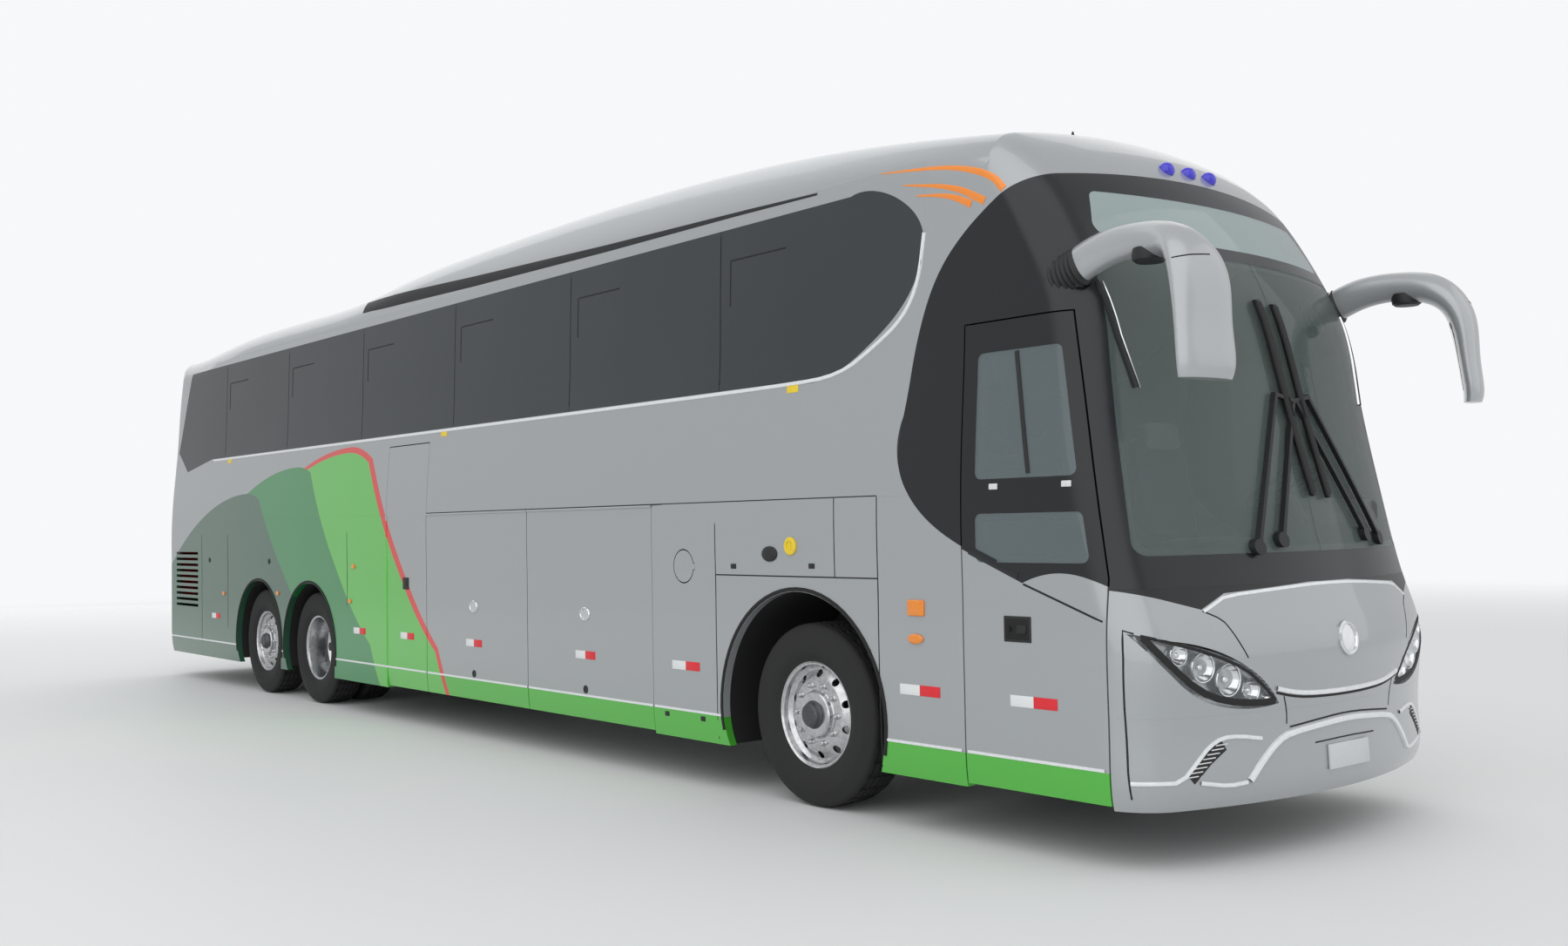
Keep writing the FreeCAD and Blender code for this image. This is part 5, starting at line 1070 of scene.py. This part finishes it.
def seat_parts(store, x, front_y, floor_z, width):
    """Cushion, raked back and head roll of one seat, in the CAD seat's outline."""
    high = floor_z + SEAT_HIGH
    lean = Matrix.Identity(4)
    lean[1][2] = 0.12 / 0.70
    for label, size, axis, way, crown, channels, y, z, tilt in (
            ("pads", (width, 0.44, 0.115), 2, 1, 0.016, (-0.35, 0.4), 0.225, -0.068,
             Matrix()),
            ("pads", (width, 0.085, 0.60), 1, -1, 0.014, (-0.45, 0.1, 0.62), BACK_Y + 0.055,
             0.30, lean),
            ("heads", (width * 0.66, 0.075, 0.17), 1, -1, 0.010, (), BACK_Y + 0.075, 0.60,
             lean)):
        gather(store, label, pad(size, axis, way, crown, channels),
               Matrix.Translation((x, front_y + y, high + z)) @ tilt)


def finish_seats(label, head_name, store, node):
    cushions = stand_for(piece(label, store["pads"], BODY_OF[node], seat_cloth), node)
    heads = piece(head_name, store["heads"], BODY_OF[node], head_cloth)

# %% Rows of seats
pads, frames = {}, {}
lowest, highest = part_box("passenger_seats")
ROWS, PITCH = 13, 0.8
for row in range(ROWS):
    front_y = lowest[1] + row * PITCH
    for side in (-1, 1):
        for x in (0.46, 0.93):
            seat_parts(pads, side * x, front_y, lowest[2], 0.44)
        gather(frames, "all", block((0.80, 0.30, 0.33), 0.02),
               Matrix.Translation((side * 0.695, front_y + 0.24, lowest[2] + 0.167)))
        for x in (0.245, 0.695, 1.145):
            gather(frames, "all", block((0.03, 0.30, 0.05), 0.012),
                   Matrix.Translation((side * x, front_y + 0.34, lowest[2] + 0.62)))
print("seat box", [round(v, 2) for v in lowest], [round(v, 2) for v in highest])
finish_seats("passenger_seat_pads", "passenger_head_pads", pads, "passenger_seats")
piece("seat_frames", frames["all"], BODY_OF["passenger_seats"], black_trim_and_shade)

# %% Driver's place
low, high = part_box("driver_seat")
middle = (low[0] + high[0]) / 2
pads, dials = {}, {}
seat_parts(pads, middle, low[1], low[2], high[0] - low[0] - 0.01)
gather(pads, "foot", block((0.40, 0.36, 0.33), 0.02),
       Matrix.Translation((middle, low[1] + 0.24, low[2] + 0.167)))
finish_seats("driver_seat_pads", "driver_head_pad", pads, "driver_seat")
piece("driver_seat_foot", pads["foot"], BODY_OF["driver_seat"], black_trim_and_shade)
low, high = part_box("steering_wheel")
middle = (low[0] + high[0]) / 2
gather(dials, ROOT, block((0.50, 0.16, 0.15), 0.04, 3),
       Matrix.Translation((middle, low[1] - 0.13, low[2] - 0.02)))
for x in (-0.11, 0.11):
    gather(dials, ROOT, turned(mm(55, 0, 55, 8, 50, 10, 46, 4, 0, 4), 32),
           stand(Vector((middle + x, low[1] - 0.05, low[2])), REAR), 1)
make_all("instrument_binnacle", dials, dash_plastic, chrome)

# %% [markdown]
# ## Tail
# Each lamp column has three round lenses in bright rings, and the engine lid breathes through
# rows of louvres.

# %% Tail lenses, louvres and roof hatches
TAIL_SKIN = tree_of(["tail_lamps"])
low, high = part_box("tail_lamps")
rings = {}
for label, share, material in (("stop", 0.8, red_lens), ("turn", 0.5, amber),
                               ("reverse", 0.2, clear_lens)):
    lenses = {}
    for side in (-1, 1):
        spot = Vector((side * (high[0] - 0.12), high[1], low[2] + (high[2] - low[2]) * share))
        place = stand(*touch(spot, REAR, TAIL_SKIN)[:2])
        gather(rings, ROOT, turned(mm(52, -4, 52, 6, 46, 10, 42, 6), 32), place)
        gather(lenses, ROOT, turned(mm(43, -2, 42, 8, 30, 13, 0, 15), 32), place)
    make_all(f"tail_{label}_lens", lenses, material)
make_all("tail_rings", rings, chrome)
low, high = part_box("engine_lid")
for k in range(9):
    z = low[2] + 0.12 + 0.05 * k
    lay(f"lid_louvre_{k}", [(low[0] + 0.22, z), (high[0] - 0.22, z)], REAR, 0.030, 0.012,
        black_trim_and_shade, 0.12)
hatches = {}
for y in (2.9, 7.6):
    place = stand(*touch(at(TOP, 0, y), TOP)[:2], REAR)
    for size, edge, lift in (((0.74, 0.74, 0.05), 0.018, 0), ((0.60, 0.60, 0.03), 0.012, 0.028)):
        gather(hatches, ROOT, block(size, edge, 3), place @ Matrix.Translation((0, 0, lift)))
make_all("roof_hatch", hatches, pale_trim_and_highlight)

# %% Camera at the photograph's place
FOCAL_PX, PHOTO_WIDTH_PX, SENSOR_MM = 1670.76, 1800, 36


def aim_camera():
    """The camera's place, turn and lens, as fitted to the photograph."""
    yaw, pitch, roll = (math.radians(a) for a in (39.90, 2.05, -1.0))
    ahead = Vector((math.sin(yaw) * math.cos(pitch), math.cos(yaw) * math.cos(pitch),
                    math.sin(pitch)))
    right = ahead.cross(TOP).normalized()
    up = right.cross(ahead)
    right, up = (right * math.cos(roll) + up * math.sin(roll),
                 up * math.cos(roll) - right * math.sin(roll))
    data = bpy.data.cameras.new("photo_camera")
    data.lens = FOCAL_PX / PHOTO_WIDTH_PX * SENSOR_MM
    camera = bpy.data.objects.new("photo_camera", data)
    camera.matrix_world = Matrix.Translation((-6.665, AXLE_Y - 6.283, 1.601)) @ Matrix(
        (right, up, -ahead)).transposed().to_4x4()
    scene.collection.objects.link(camera)
    scene.camera = camera


aim_camera()
print("camera lens in mm", round(scene.camera.data.lens, 2))

# %% [markdown]
# ## Studio
# The floor is pale and plain near the coach, and fades into the white background with distance,
# so no horizon shows. Three large soft lamps and the sky light the object.

# %% Floor that fades with distance


def build_stage():
    material, shader, place = finish("pale_floor", Roughness=0.6)
    noise = add(material, "TexNoise", {"Vector": place, "Scale": 0.4}, "Fac")
    wire(two_tones(material, noise, "#e6e7e8", "#e8e9e9"), shader, "Base Color")
    away = add(material, "VectorMath", (place,), "Value", operation="LENGTH")
    share = add(material, "MapRange", {"Value": away, "From Min": 11.0, "From Max": 30.0},
                "Result", interpolation_type="SMOOTHSTEP")
    clear = add(material, "BsdfTransparent", out=0)
    blend = add(material, "MixShader", (share, shader.outputs[0], clear), 0)
    wire(blend, material.node_tree.nodes["Material Output"], "Surface")
    work = bmesh.new()
    bmesh.ops.create_grid(work, x_segments=1, y_segments=1, size=40)
    bare("studio_floor", work, material)

# %% Sky and lamps


def light_world():
    """A pale sky that the camera sees as near white, and that lights the coach more softly."""
    world = bpy.data.worlds.new("soft_studio")
    world.use_nodes = True
    scene.world = world
    back = world.node_tree.nodes["Background"]
    back.inputs["Color"].default_value = (0.95, 0.96, 0.97, 1)
    rays = add(world, "LightPath").outputs
    seen = add(world, "Math", (rays["Is Camera Ray"], rays["Is Transmission Ray"]), 0,
               operation="MAXIMUM")
    wire(add(world, "MapRange", {"Value": seen, "To Min": 0.62, "To Max": 0.98}, "Result"),
         back, "Strength")


def soft_lamp(name, place, target, size, power):
    data = bpy.data.lights.new(name, "AREA")
    data.shape = "RECTANGLE"
    data.size, data.size_y = size
    data.energy = power
    lamp = bpy.data.objects.new(name, data)
    lamp.location = place
    lamp.rotation_euler = (Vector(target) - Vector(place)).to_track_quat("-Z", "Y").to_euler()
    scene.collection.objects.link(lamp)


build_stage()
light_world()
soft_lamp("key_lamp", (-17, -9, 15), (0, 0, 1.5), (36, 36), 3400)
soft_lamp("fill_lamp", (8, -20, 10), (0, -4, 1.5), (32, 20), 800)
soft_lamp("back_lamp", (8, 14, 11), (0, 2, 2), (34, 30), 1500)
scene.view_settings.view_transform = "Standard"
print("lamps", len(bpy.data.lights))
